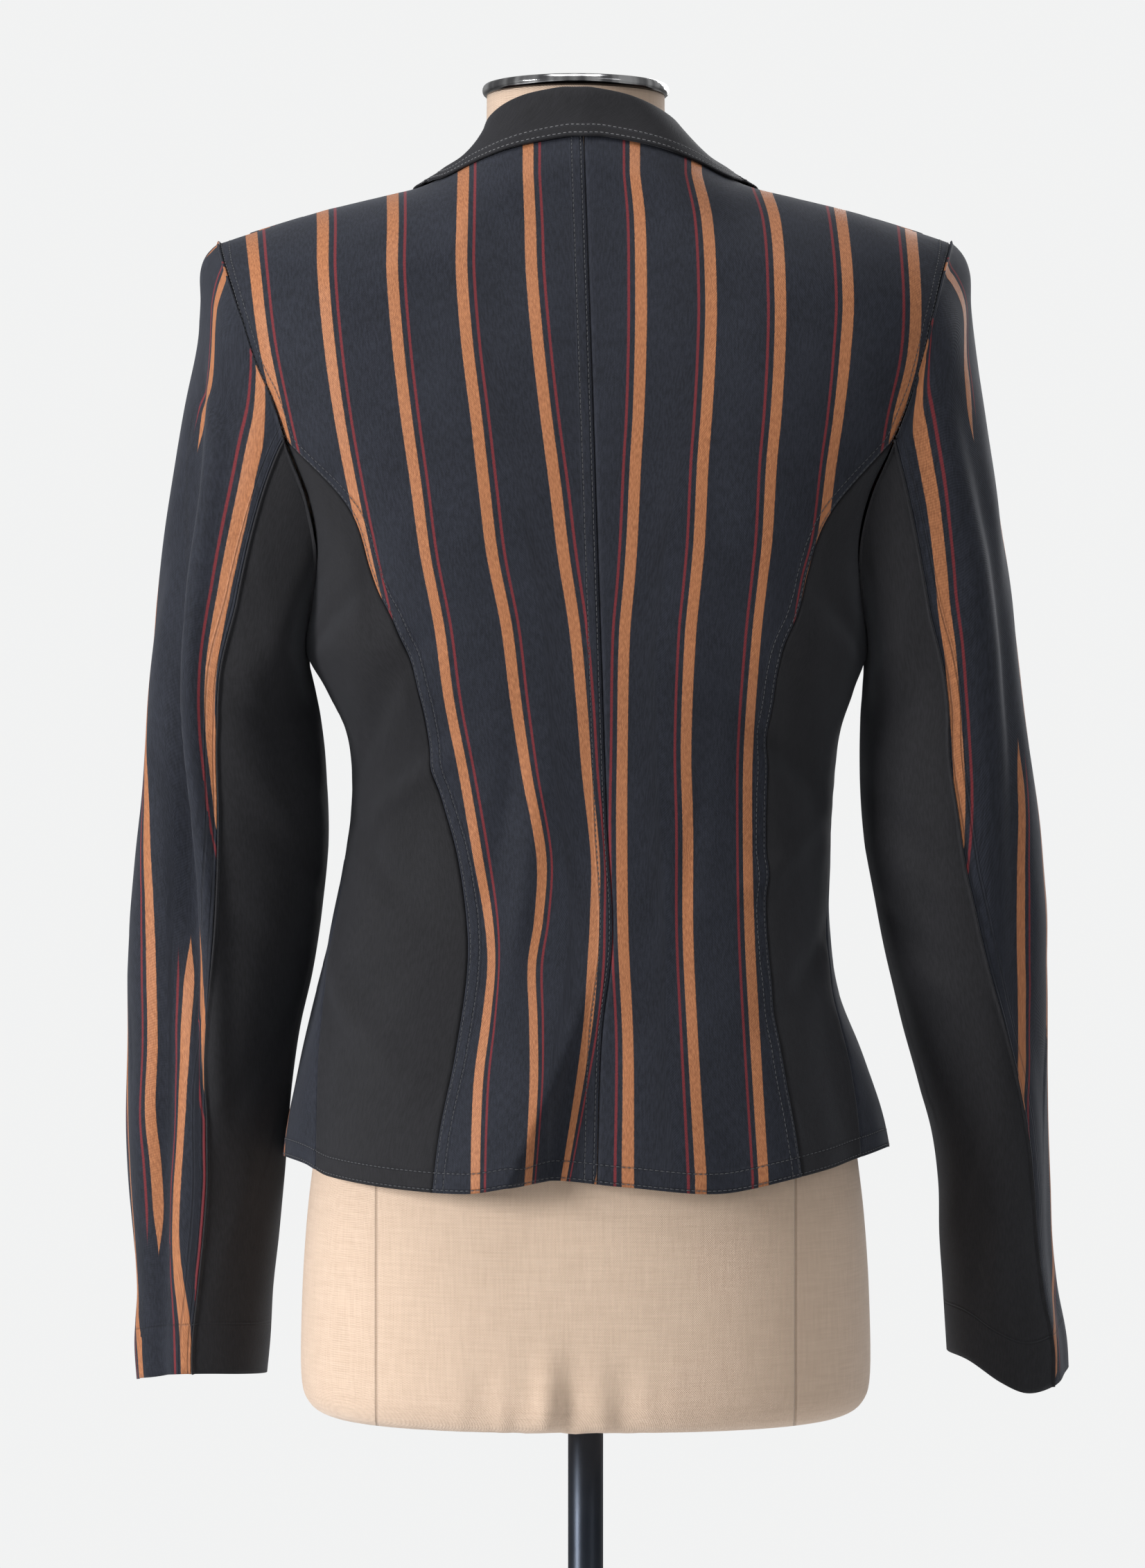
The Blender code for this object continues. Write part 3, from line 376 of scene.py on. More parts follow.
def crown(across, height):
    """How far the body has opened out below the shoulder line, from 0 on it to 1."""
    drop = min(max((ridge_height(across) - height) / SHOULDER_CROWN, 0.0), 1.0)
    return math.sqrt(1 - (1 - drop) ** 2)


def half_width(side, height):
    return read(BODY, "right" if side > 0 else "left", height) * MM


def form_half(height):
    if height <= FORM[-1].height * MM:
        return read(FORM, "half", height) * MM
    low, high = NECK_POINT_ACROSS, SHOULDER_END
    for _ in range(30):
        middle = 0.5 * (low + high)
        low, high = (middle, high) if ridge_height(middle) > height + FORM_DROP else (low, middle)
    return min(low, FORM[-1].half * MM)


def form_ring(height):
    """One level ring of the form, just inside the cloth at the shoulders."""
    half = form_half(height)
    upper = ease((height - CHEST_FROM) / CHEST_OVER)
    square = read(BODY, "square", height)
    ring = []
    for step in range(FORM_SIDES):
        angle = 2 * math.pi * step / FORM_SIDES
        across = half * math.copysign(abs(math.sin(angle)) ** FORM_EVEN, math.sin(angle))
        face = "back" if math.cos(angle) >= 0 else "front"
        share = min(abs(across) / half, 1.0)
        plain = read(FORM, face, min(height, FORM[-1].height * MM)) * MM
        plain *= max(0.0, 1 - share**FORM_SQUARE) ** (1 / FORM_SQUARE)
        reach = min(abs(across) / half_width(1 if across >= 0 else -1, height), 1.0)
        shaped = read(BODY, face, height + FORM_DROP) * MM * (1 - reach**square) ** (1 / square)
        shaped *= crown(across, height + FORM_DROP) * FORM_SCALE
        shaped *= max(0.0, 1 - share**SHOULDER_SQUARE) ** (1 / SHOULDER_SQUARE)
        depth = mix(plain, shaped, upper)
        ring.append(Vector((across, -depth if face == "back" else depth, height)))
    return ring


def neck_ring(row):
    ring = []
    for step in range(FORM_SIDES):
        angle = 2 * math.pi * step / FORM_SIDES
        lean = NECK_SHIFT * ease((row.height - NECK_LEAN_FROM) / NECK_LEAN_OVER)
        across = row.half * MM * math.sin(angle) + lean
        depth = (row.back if math.cos(angle) >= 0 else row.front) * MM
        ring.append(Vector((across, -depth * math.cos(angle), row.height * MM)))
    return ring


def smooth_between(rings, steps):
    """Rings filled in with smooth ones, so many to each gap."""
    filled = []
    for spot in range(len(rings) - 1):
        four = [rings[min(max(spot + at, 0), len(rings) - 1)] for at in (-1, 0, 1, 2)]
        for step in range(steps):
            part = step / steps
            line = []
            for before, start, end, after in zip(*four):
                slope, slope_end = (end - before) * 0.5, (after - start) * 0.5
                square, cube = part * part, part**3
                line.append(
                    start * (2 * cube - 3 * square + 1) + slope * (cube - 2 * square + part)
                    + end * (3 * square - 2 * cube) + slope_end * (cube - square)
                )
            filled.append(line)
    return filled + [rings[-1]]


def gathered(point):
    """The linen's small gathers, which deepen towards the bottom edge behind."""
    outward = Vector((point.x, point.y, 0.0)).normalized()
    low = ease((GATHER_TOP - point.z) / (GATHER_TOP - FORM_FOOT))
    near = bell(point.x - GATHER_MIDDLE, GATHER_SPREAD) if point.y < 0 else GATHER_IN_FRONT
    wave = noise.noise(Vector((point.x * 95, point.y * 40, point.z * 7)))
    return point + outward * GATHER_DEPTH * wave * low * near


def sheet_mesh(name, points, flip=False, closed=False, faces_end=False):
    """Rows of points joined by four-sided faces, with room for a UV map."""
    wide = len(points[0])
    corners = [tuple(point) for line in points for point in line]
    faces = []
    for row in range(len(points) - 1):
        for column in range(wide if closed else wide - 1):
            after = (column + 1) % wide
            upper, lower = row * wide, (row + 1) * wide
            face = (upper + column, lower + column, lower + after, upper + after)
            faces.append(face[::-1] if flip else face)
    if faces_end:
        first = tuple(range(wide))
        last = tuple(range((len(points) - 1) * wide, len(points) * wide))
        faces.append(first[::-1] if flip else first)
        faces.append(last if flip else last[::-1])
    mesh = bpy.data.meshes.new(name)
    mesh.from_pydata(corners, [], faces)
    return mesh


rings = [form_ring(row.height * MM) for row in FORM]
rings += [form_ring(height * MM) for height in SHOULDER_RINGS]
rings += [neck_ring(row) for row in NECK]
rings = smooth_between(rings, 5)
rings = [[gathered(point) for point in ring] for ring in rings]
form_mesh = sheet_mesh("linen_form", rings, flip=True, closed=True, faces_end=True)

linen, tree, shader = new_material("natural_linen", 0.85, **{"Sheen Weight": 0.25, "Sheen Roughness": 0.5})
place = object_place(tree)
across, along, upward = add_node(tree, "ShaderNodeSeparateXYZ", None, Vector=place).outputs
THREAD_PITCH = 1.25 * MM
slanted = calc(tree, "ADD", across, calc(tree, "MULTIPLY", along, 0.9))
warp = calc(tree, "SINE", calc(tree, "MULTIPLY", slanted, 2 * math.pi / THREAD_PITCH))
weft = calc(tree, "SINE", calc(tree, "MULTIPLY", upward, 2 * math.pi / THREAD_PITCH))
weave = calc(tree, "MULTIPLY", warp, weft)
slubs = []
for scale in ((900, 900, 60), (45, 45, 1100)):
    drawn_out = add_node(tree, "ShaderNodeMapping", None, Vector=place, Scale=scale).outputs[0]
    slubs.append(speckle(tree, drawn_out, 1.0))
threads = calc(tree, "ADD", *slubs)
paleness = calc(tree, "MULTIPLY_ADD", weave, 0.16, calc(tree, "MULTIPLY", threads, 0.5))
tone = blended(tree, paleness, (0.50, 0.355, 0.255, 1), (0.76, 0.585, 0.455, 1))
beside = calc(tree, "SUBTRACT", calc(tree, "ABSOLUTE", across), FORM_SEAM_ACROSS)
seam_line = fading(tree, calc(tree, "ABSOLUTE", beside), 0.2 * MM, 1.1 * MM)
tone = blended(tree, calc(tree, "MULTIPLY", seam_line, 0.45), tone, (0.20, 0.12, 0.07, 1))
tree.links.new(tone, shader.inputs["Base Color"])
height = calc(tree, "MULTIPLY", weave, 0.10 * MM)
height = calc(tree, "SUBTRACT", height, calc(tree, "MULTIPLY", seam_line, 0.7 * MM))
height = calc(tree, "MULTIPLY_ADD", threads, 0.12 * MM, height)
bump = add_node(tree, "ShaderNodeBump", None, Height=height, Strength=0.8, Distance=1.0)
tree.links.new(bump.outputs[0], shader.inputs["Normal"])
finished("linen_form", form_mesh, linen, "form_linen", "form_torso")

# Neck rim and cap. A polished chrome lid on the form's neck, with a rolled rim round it. Both
# are turned from a profile and lean with the neck a little to the wearer's left. Their colour
# holds painted reflections in bands round the neck, and painted shade on the rim's lower edge.
RIM_RADIUS, RIM_TOP = 49.8 * MM, 1493.6 * MM
RIM_OUT, RIM_HALF, RIM_STEPS = 2.2 * MM, 3.1 * MM, 16
NECK_MIDDLE = (NECK_SHIFT, 0, 0)
chrome, tree, shader = new_material("polished_chrome", 0.10, Metallic=1.0)
place = object_place(tree)
across, along, upward = add_node(tree, "ShaderNodeSeparateXYZ", None, Vector=place).outputs
around = calc(tree, "ARCTAN2", along, across)
# Painted reflections: the chrome's colour runs in light and dark bands round the neck.
painted_reflection_bands = add_node(tree, "ShaderNodeTexNoise", {"noise_dimensions": "1D"}, W=around, Scale=3.2).outputs[0]
# Painted shade: below this height, on the rim's lower edge and the lid's edge and underside, the colour turns
# near black.
low = between(tree, upward, RIM_TOP - 5.6 * MM, RIM_TOP - 3.4 * MM)
tone = blended(tree, between(tree, painted_reflection_bands, 0.40, 0.60), (0.22, 0.22, 0.23, 1), (0.80, 0.80, 0.81, 1))
tone = blended(tree, low, (0.05, 0.048, 0.048, 1), tone)
tree.links.new(tone, shader.inputs["Base Color"])
rubbed = spread_over(tree, speckle(tree, place, 180.0), 0.06, 0.2)
tree.links.new(rubbed, shader.inputs["Roughness"])
rim_profile = []
for step in range(RIM_STEPS + 1):
    angle = 2 * math.pi * step / RIM_STEPS
    away, rise = RIM_OUT * math.cos(angle), RIM_HALF * math.sin(angle)
    rim_profile.append((RIM_RADIUS + away, RIM_TOP - RIM_HALF + rise))
rim_mesh = turned("chrome_rim", rim_profile, 120, NECK_MIDDLE)
finished("chrome_rim", rim_mesh, chrome, "neck_chrome", "neck_rim")
lid_profile = [
    (0.0, RIM_TOP - 1.2 * MM), (8 * MM, RIM_TOP - 1.3 * MM), (38 * MM, RIM_TOP - 2.4 * MM),
    (47.4 * MM, RIM_TOP - 3.2 * MM), (47.8 * MM, RIM_TOP - 4.6 * MM), (0.0, RIM_TOP - 5.4 * MM),
]
lid_mesh = turned("chrome_lid", lid_profile, 96, NECK_MIDDLE)
finished("chrome_lid", lid_mesh, chrome, "neck_chrome", "neck_cap")

# Back panels. Two panels of striped navy twill from the shoulder seam to the hem, sewn
# together down the centre back. The stripes run down the panel and bend with it, and the
# left panel stands out in a soft flap beside the centre seam at the hem.
WALL = 1.2 * MM
LEFT, RIGHT = -1, 1
BACK, FRONT = -1, 1
ARMHOLE_TOP, ARMHOLE_FOOT = 1405 * MM, 1177 * MM
JOIN_HEIGHT = 0.5 * (ARMHOLE_TOP + ARMHOLE_FOOT)
ARMHOLE_RISE = 0.5 * (ARMHOLE_TOP - ARMHOLE_FOOT)
NAPE_HEIGHT, BLADE_HEIGHT, FRONT_HEM = 1462 * MM, 1300 * MM, 888 * MM
HEM_LOW = 870 * MM
ARMHOLE_STEP, HEM_ROWS = 15, 12
REPEAT = 38.4 * MM
COPPER_HALF, RED_AWAY, RED_HALF = 3.25 * MM, 6.8 * MM, 0.8 * MM
SEAM_ROWS = (1.6 * MM, 6.6 * MM)
HEM_LINES = (1.6 * MM, 10.6 * MM)
SEAM_ROUND, SUNK, RAISED, JOINED = 1.0 * MM, 1.7 * MM, 0.6 * MM, 0.55 * MM
CALM_TOP, CALM_FADE, LOOSE_DEPTH, LOOSE_BEHIND = 1440 * MM, 60 * MM, 1.0 * MM, 2.2 * MM
LOOSE_FROM, SMALL_SHARE = 25 * MM, 0.3
PUCKER_DEPTH, PUCKER_FADE, PUCKER_FROM, PUCKER_GRAIN = 0.55 * MM, 9 * MM, 2 * MM, 95.0
OUT_OF_REACH = 1.0
HEM_WIDTH_AT, PRINCESS_FOOT, FRONT_HEM_FROM, FRONT_HEM_OVER = 905 * MM, 892 * MM, 75, 60
BACK_GRID = (190, 64)

Seam = namedtuple("Seam", "height across")
CENTRE_BACK = [
    Seam(880, 5),
    Seam(968, 8),
    Seam(1023, 14),
    Seam(1084, 11),
    Seam(1227, 6),
    Seam(1350, 2),
    Seam(1470, -2),
]
PRINCESS = {
    LEFT: [
        Seam(880, 77),
        Seam(918, 75),
        Seam(960, 69),
        Seam(1013, 64),
        Seam(1062, 69),
        Seam(1110, 82),
        Seam(1148, 89),
        Seam(1190, 103),
        Seam(1212, 114),
        Seam(1253, 128),
        Seam(1291, 163),
    ],
    RIGHT: [
        Seam(880, 117),
        Seam(918, 112),
        Seam(963, 105),
        Seam(1023, 98.5),
        Seam(1066, 98),
        Seam(1100, 98.5),
        Seam(1145, 101),
        Seam(1176, 106),
        Seam(1198, 115),
        Seam(1236, 125),
        Seam(1256, 136),
        Seam(1291, 167),
    ],
}
ARMHOLE_BACK = {
    LEFT: [
        Seam(1280, 159),
        Seam(1291, 163),
        Seam(1314, 171),
        Seam(1336, 181),
        Seam(1358, 188),
        Seam(1382, 196),
        Seam(1405, 204),
    ],
    RIGHT: [
        Seam(1280, 162),
        Seam(1291, 167),
        Seam(1317, 178),
        Seam(1341, 185),
        Seam(1356, 188.5),
        Seam(1383, 195.5),
        Seam(1405, 203),
    ],
}
ARMHOLE_FRONT = [
    Seam(1280, 161),
    Seam(1291, 163),
    Seam(1320, 170),
    Seam(1348, 179),
    Seam(1382, 193),
    Seam(1405, 203.5),
]
HemPoint = namedtuple("HemPoint", "across height")
HEM = [
    HemPoint(-180, 905),
    HemPoint(-160, 898),
    HemPoint(-140, 892),
    HemPoint(-60, 887),
    HemPoint(-20, 893),
    HemPoint(20, 890),
    HemPoint(70, 886),
    HemPoint(105, 892),
    HemPoint(150, 901),
    HemPoint(180, 910),
]
# Soft folds of the body: where round it they start and end, and how they deepen downwards.
Fold = namedtuple("Fold", "top_degrees foot_degrees before after top depth")
FOLDS = [
    Fold(3.4, -16, 20, 2.1, 1025, 16),
    Fold(9, -10.4, 2.4, 7, 1015, -5.5),
    Fold(-62, -70, 8, 12, 1030, -4),
    Fold(-106, -106, 16, 20, 1060, 6),
    Fold(62, 62, 9, 9, 1010, -3),
    Fold(88, 88, 12, 14, 1000, 4),
    Fold(34, 38, 9, 9, 1000, 2.5),
    Fold(16, 19, 8, 8, 980, 2.0),
    Fold(-38, -42, 9, 9, 1000, 2.0),
]
# Short drag lines in the cloth: the middle, the reach each way and the slant of each.
Drag = namedtuple("Drag", "degrees height long wide slant depth")
DRAG_SCALE, DRAG_REACH, BODY_DEGREE, FOLD_HASTE = 1.8, 4, 2.4, 1.1
DRAGS = [
    Drag(-52, 1150, 60, 9, 35, -1.6),
    Drag(-46, 1105, 55, 8, 25, 1.4),
    Drag(-58, 1060, 50, 9, -30, -1.4),
    Drag(-60, 985, 60, 10, -35, 1.6),
    Drag(-20, 1085, 60, 8, 80, -1.2),
    Drag(-14, 1045, 50, 7, 84, 1.4),
    Drag(24, 1050, 60, 8, 82, -1.0),
    Drag(52, 1120, 55, 9, -30, -1.5),
    Drag(50, 1060, 50, 8, 25, 1.3),
    Drag(60, 1000, 55, 9, 30, -1.2),
    Drag(-66, 1190, 45, 8, 30, -1.0),
    Drag(68, 1188, 45, 8, -30, -1.0),
    Drag(-150, 1060, 60, 9, 75, -1.2),
    Drag(152, 1080, 60, 9, -75, 1.2),
    Drag(-120, 1130, 60, 9, 30, -1.6),
    Drag(124, 1140, 60, 9, -30, -1.6),
]
# Where the copper stripes lie on the back, by photo row and column, from left to right.
LeftStripes = namedtuple("LeftStripes", "photo_row first second third fourth fifth")
LEFT_STRIPES = [
    LeftStripes(250, 355, 463, 566, 669, 762),
    LeftStripes(320, 361, 466, 567, 667, 765),
    LeftStripes(390, 368, 466, 566, 666, 767),
    LeftStripes(496, 381, 475, 574, 674, 776),
    LeftStripes(601, 404, 489, 586, 687, 788),
    LeftStripes(700, 428, 507, 600, 698, 801),
    LeftStripes(800, 452, 529, 613, 710, 813),
    LeftStripes(905, 478, 553, 633, 731, 829),
    LeftStripes(1010, 498, 570, 647, 744, 839),
    LeftStripes(1116, 520, 592, 668, 760, 847),
    LeftStripes(1238, 541, 615, 689, 782, 859),
    LeftStripes(1326, 550, 627, 705, 777, 858),
    LeftStripes(1393, 548, 629, 710, 766, 855),
    LeftStripes(1473, 540, 620, 702, 769, 849),
    LeftStripes(1553, 530, 610, 691, 771, 838),
    LeftStripes(1633, 525, 605, 687, 768, 825),
    LeftStripes(1710, 522, 603, 686, 763, 812),
]
RightStripes = namedtuple("RightStripes", "photo_row first second third fourth fifth")
RIGHT_STRIPES = [
    RightStripes(250, 916, 1005, 1094, 1198, 1300),
    RightStripes(316, 923, 1020, 1118, 1214, 1312),
    RightStripes(426, 925, 1026, 1126, 1224, 1321),
    RightStripes(514, 924, 1024, 1125, 1219, 1317),
    RightStripes(601, 921, 1019, 1120, 1210, 1296),
    RightStripes(668, 917, 1014, 1114, 1200, 1285),
    RightStripes(778, 912, 1009, 1108, 1185, 1268),
    RightStripes(836, 908, 1004, 1102, 1168, 1250),
    RightStripes(919, 901, 996, 1093, 1155, 1235),
    RightStripes(1077, 898, 990, 1081, 1150, 1225),
    RightStripes(1195, 897, 993, 1079, 1155, 1232),
    RightStripes(1350, 899, 993, 1082, 1165, 1245),
    RightStripes(1505, 906, 1000, 1090, 1175, 1258),
    RightStripes(1700, 906, 1012, 1102, 1185, 1270),
]


def drag_depth(drag, over, rise, stretch=1.0):
    """How deep a drag line is at this distance across and up from its middle."""
    if abs(over) + abs(rise) > DRAG_REACH * drag.long:
        return 0.0
    slant = math.radians(drag.slant)
    length = over * math.cos(slant) + rise * math.sin(slant)
    breadth = rise * math.cos(slant) - over * math.sin(slant)
    return drag.depth * MM * bell(length, drag.long * stretch) * bell(breadth, drag.wide)


def folded(point, turn):
    """The body's point with its soft folds and drag lines pressed in or out."""
    outward = Vector((point.x, point.y, 0.0)).normalized()
    shift = 0.0
    for fold in FOLDS:
        down = (fold.top * MM - point.z) / (fold.top * MM - HEM_LOW)
        if down <= 0:
            continue
        offset = turn - mix(fold.top_degrees, fold.foot_degrees, min(down, 1.0))
        spread = fold.before if offset < 0 else fold.after
        shift += fold.depth * MM * bell(offset, spread) * ease(down * FOLD_HASTE)
    for drag in DRAGS:
        over = (turn - drag.degrees) * BODY_DEGREE
        shift += DRAG_SCALE * drag_depth(drag, over, point.z / MM - drag.height)
    return point + outward * shift


def body_point(turn, height):
    """The body's surface: turn 0 is the middle of the back, +90 the wearer's right side."""
    side = RIGHT if turn >= 0 else LEFT
    sine = abs(math.sin(math.radians(turn)))
    face = "back" if abs(turn) <= 90 else "front"
    square = read(BODY, "square", height)
    across = side * half_width(side, height) * sine
    depth = read(BODY, face, height) * MM * max(0.0, 1 - sine**square) ** (1 / square)
    depth *= crown(across, height)
    return folded(Vector((across, -depth if face == "back" else depth, height)), turn)


def turn_at(across, height, face=BACK):
    """The turn whose point lies this far across, on the back or on the front."""
    side = RIGHT if across >= 0 else LEFT
    turn = math.degrees(math.asin(min(abs(across) / half_width(side, height), 1.0)))
    return side * (turn if face == BACK else 180 - turn)


def turn_at_depth(side, depth, height, face):
    """The turn on one side whose point lies this deep behind or before the middle."""
    square = read(BODY, "square", height)
    share = min(depth / (read(BODY, "back" if face == BACK else "front", height) * MM), 1.0)
    turn = math.degrees(math.asin(max(0.0, 1 - share**square) ** (1 / square)))
    return side * (turn if face == BACK else 180 - turn)


def plain_depth(across, height, face):
    share = min(abs(across) / half_width(1 if across >= 0 else -1, height), 1.0)
    square = read(BODY, "square", height)
    return read(BODY, "back" if face == BACK else "front", height) * MM * (1 - share**square) ** (1 / square)


def armhole(side, degrees):
    """(turn, height) on the armhole: 0 at its top, 90 at the back, 180 under the arm."""
    degrees %= 360
    height = JOIN_HEIGHT + ARMHOLE_RISE * math.cos(math.radians(degrees))
    face = BACK if degrees <= 180 else FRONT
    upper = ARMHOLE_BACK[side] if face == BACK else ARMHOLE_FRONT
    if degrees <= 90 or degrees >= 270:
        return turn_at(side * read(upper, "across", height) * MM, height, face), height
    widest = side * read(upper, "across", JOIN_HEIGHT) * MM
    depth = plain_depth(widest, JOIN_HEIGHT, face) * abs(math.sin(math.radians(degrees)))
    return turn_at_depth(side, depth, height, face), height


def hem_height(turn):
    """The hem, which follows the back's outline and levels off at the front."""
    across = half_width(RIGHT if turn >= 0 else LEFT, HEM_WIDTH_AT) * math.sin(math.radians(turn))
    back = read(HEM, "height", across, "across") * MM
    return mix(back, FRONT_HEM, ease((abs(turn) - FRONT_HEM_FROM) / FRONT_HEM_OVER))


def patch(downs, overs, first, last, top, foot):
    """A grid of (turn, height) between four seams, each a function of its share run."""
    tops = [top(over) for over in overs]
    feet = [foot(over) for over in overs]
    starts, ends = (first(0.0), first(1.0)), (last(0.0), last(1.0))
    grid = []
    for down in downs:
        near, far = first(down), last(down)
        line = []
        for over, upper, lower in zip(overs, tops, feet):
            spot = []
            for axis in (0, 1):
                left = near[axis] + (tops[0][axis] - starts[0][axis]) * (1 - down)
                left += (feet[0][axis] - starts[1][axis]) * down
                right = far[axis] + (tops[-1][axis] - ends[0][axis]) * (1 - down)
                right += (feet[-1][axis] - ends[1][axis]) * down
                corners = mix(
                    mix(tops[0][axis], tops[-1][axis], over), mix(feet[0][axis], feet[-1][axis], over), down
                )
                spot.append(mix(left, right, over) + mix(upper[axis], lower[axis], down) - corners)
            line.append(tuple(spot))
        grid.append(line)
    return grid


def shares(count, near_start=True, near_end=True):
    """Even shares from 0 to 1, with close steps beside the edges that are seamed."""
    close = [0.003, 0.007, 0.013, 0.022, 0.035]
    low = close if near_start else []
    high = [1 - share for share in reversed(close)] if near_end else []
    start, end = (0.05 if near_start else 0.0), (0.95 if near_end else 1.0)
    middle = [mix(start, end, step / count) for step in range(count + 1)]
    return sorted(set([0.0] + low + middle + high + [1.0]))


def princess_turn(side, height):
    return turn_at(side * read(PRINCESS[side], "across", height) * MM, height)


def princess_run(side, share):
    """The princess seam from the armhole to the hem."""
    foot = hem_height(princess_turn(side, PRINCESS_FOOT))
    height = mix(JOIN_HEIGHT, foot, share)
    return princess_turn(side, height), height


def stepped(share, top, middle, foot, degrees, rows):
    """A height that steps down as the armhole's do to the middle, and then evenly on."""
    row, curved = share * rows, degrees / ARMHOLE_STEP
    if row <= curved:
        fall = 1 - math.cos(math.radians(row * ARMHOLE_STEP))
        return mix(top, middle, fall / (1 - math.cos(math.radians(degrees))))
    return mix(middle, foot, (row - curved) / (rows - curved))


def wrap(turn):
    return (turn + 180) % 360 - 180


def placed(grid):
    return [[body_point(wrap(turn), height) for turn, height in line] for line in grid]


def grid_normals(points, flip):
    """The outward direction at each point of a grid."""
    normals = []
    for row, line in enumerate(points):
        upper, lower = points[max(row - 1, 0)], points[min(row + 1, len(points) - 1)]
        found = []
        for column in range(len(line)):
            left, right = line[max(column - 1, 0)], line[min(column + 1, len(line) - 1)]
            normal = (lower[column] - upper[column]).cross(right - left)
            found.append(-normal.normalized() if flip else normal.normalized())
        normals.append(found)
    return normals


def distances(points, edge):
    """How far each point lies from one edge of its grid, measured along the cloth."""
    rows, columns = len(points), len(points[0])
    found = [[0.0] * columns for _ in range(rows)]
    if edge in ("first", "last"):
        order = range(columns) if edge == "first" else range(columns - 1, -1, -1)
        for row in range(rows):
            total, before = 0.0, None
            for column in order:
                if before is not None:
                    total += (points[row][column] - points[row][before]).length
                found[row][column] = total
                before = column
        return found
    order = range(rows) if edge == "top" else range(rows - 1, -1, -1)
    for column in range(columns):
        total, before = 0.0, None
        for row in order:
            if before is not None:
                total += (points[row][column] - points[before][column]).length
            found[row][column] = total
            before = row
    return found


def nearest(points, edges):
    """The distance to the nearest of several edges, for each point."""
    found = [[OUT_OF_REACH] * len(points[0]) for _ in points]
    for edge in edges:
        for row, line in enumerate(distances(points, edge)):
            for column, away in enumerate(line):
                found[row][column] = min(found[row][column], away)
    return found


def looseness(point):
    """How far the cloth stands off its smooth form here; it lies calm round the neck."""
    calm = ease((CALM_TOP - point.z) / CALM_FADE)
    depth = LOOSE_BEHIND if point.y < 0 else LOOSE_DEPTH
    small = noise.noise(Vector((point.x * 42, point.y * 42, point.z * 24)))
    broad = noise.noise(Vector((point.x * 16, point.y * 16, point.z * 9)))
    return (broad + SMALL_SHARE * small) * depth * calm


def relieved(points, flip, seamed):
    """Cloth relief: edges roll in at a seam by its own depth, with small puckers beside it."""
    normals = grid_normals(points, flip)
    away = nearest(points, seamed)
    edges = {edge: distances(points, edge) for edge in seamed}
    relief = []
    for row, line in enumerate(points):
        shaped = []
        for column, point in enumerate(line):
            gap = away[row][column]
            roll = min(-deep * bell(edges[edge][row][column], SEAM_ROUND) for edge, deep in seamed.items())
            pucker = noise.noise(point * PUCKER_GRAIN) * PUCKER_DEPTH
            pucker *= math.exp(-gap / PUCKER_FADE) * ease(gap / PUCKER_FROM)
            loose = looseness(point) * ease(gap / LOOSE_FROM)
            shaped.append(point + normals[row][column] * (roll + pucker + loose))
        relief.append(shaped)
    return relief


def to_photo(point):
    """The photo column and row at which the camera sees a point."""
    reach = LENS / SENSOR * PHOTO_HIGH / (point.y - CAMERA_PLACE.y)
    column = PHOTO_WIDE / 2 + (point.x - CAMERA_PLACE.x) * reach
    return column, PHOTO_HIGH / 2 - (point.z - CAMERA_PLACE.z) * reach


def stripe_share(table, order, column, row):
    """How many stripe repeats across a photo place is, counted from the first stripe."""
    at = min(max(row / 1000.0, table[0].photo_row / 1000.0), table[-1].photo_row / 1000.0)
    places = [read(table, name, at, "photo_row") for name in order]
    if places[0] > places[-1]:
        column, places = -column, [-place for place in places]
    spot = 0
    while spot < len(places) - 2 and column > places[spot + 1]:
        spot += 1
    return spot + (column - places[spot]) / (places[spot + 1] - places[spot])


def dressed_mesh(name, points, flip, across, seam=None, turnup=None, showing=None):
    """A panel's mesh, with its stripe map in metres and its distances from the stitching."""
    mesh = sheet_mesh(name, points, flip)
    columns = len(points[0])
    down = distances(points, "top")
    cloth = mesh.uv_layers.new(name="cloth")
    for loop in mesh.loops:
        row, column = divmod(loop.vertex_index, columns)
        cloth.data[loop.index].uv = (across[row][column], -down[row][column])
    far = [[OUT_OF_REACH] * columns for _ in points]
    for key, values in (("seam", seam or far), ("turnup", turnup or far), ("showing", showing or far)):
        layer = mesh.attributes.new(key, "FLOAT", "POINT")
        layer.data.foreach_set("value", [value for line in values for value in line])
    return mesh


def cloth_panel(name, mesh, material, slot, node):
    made = finished(name, mesh, material, slot, node)
    wall = made.modifiers.new("wall", "SOLIDIFY")
    wall.thickness = WALL
    wall.offset = -1.0
    return made


def inset_line(points, edge, inset, trim=0):
    """The line that runs along an edge of a grid at a distance inside it."""
    away = distances(points, edge)
    line = []
    rows, columns = len(points), len(points[0])
    if edge in ("first", "last"):
        runs = [[(row, column) for column in range(columns)] for row in range(rows)]
    else:
        runs = [[(row, column) for row in range(rows)] for column in range(columns)]
    for run in runs:
        if edge in ("last", "foot"):
            run = run[::-1]
        for start, end in zip(run, run[1:]):
            low, high = away[start[0]][start[1]], away[end[0]][end[1]]
            if low <= inset <= high:
                part = (inset - low) / max(high - low, 1e-9)
                line.append(points[start[0]][start[1]].lerp(points[end[0]][end[1]], part))
                break
    return line[trim:len(line) - trim] if trim else line


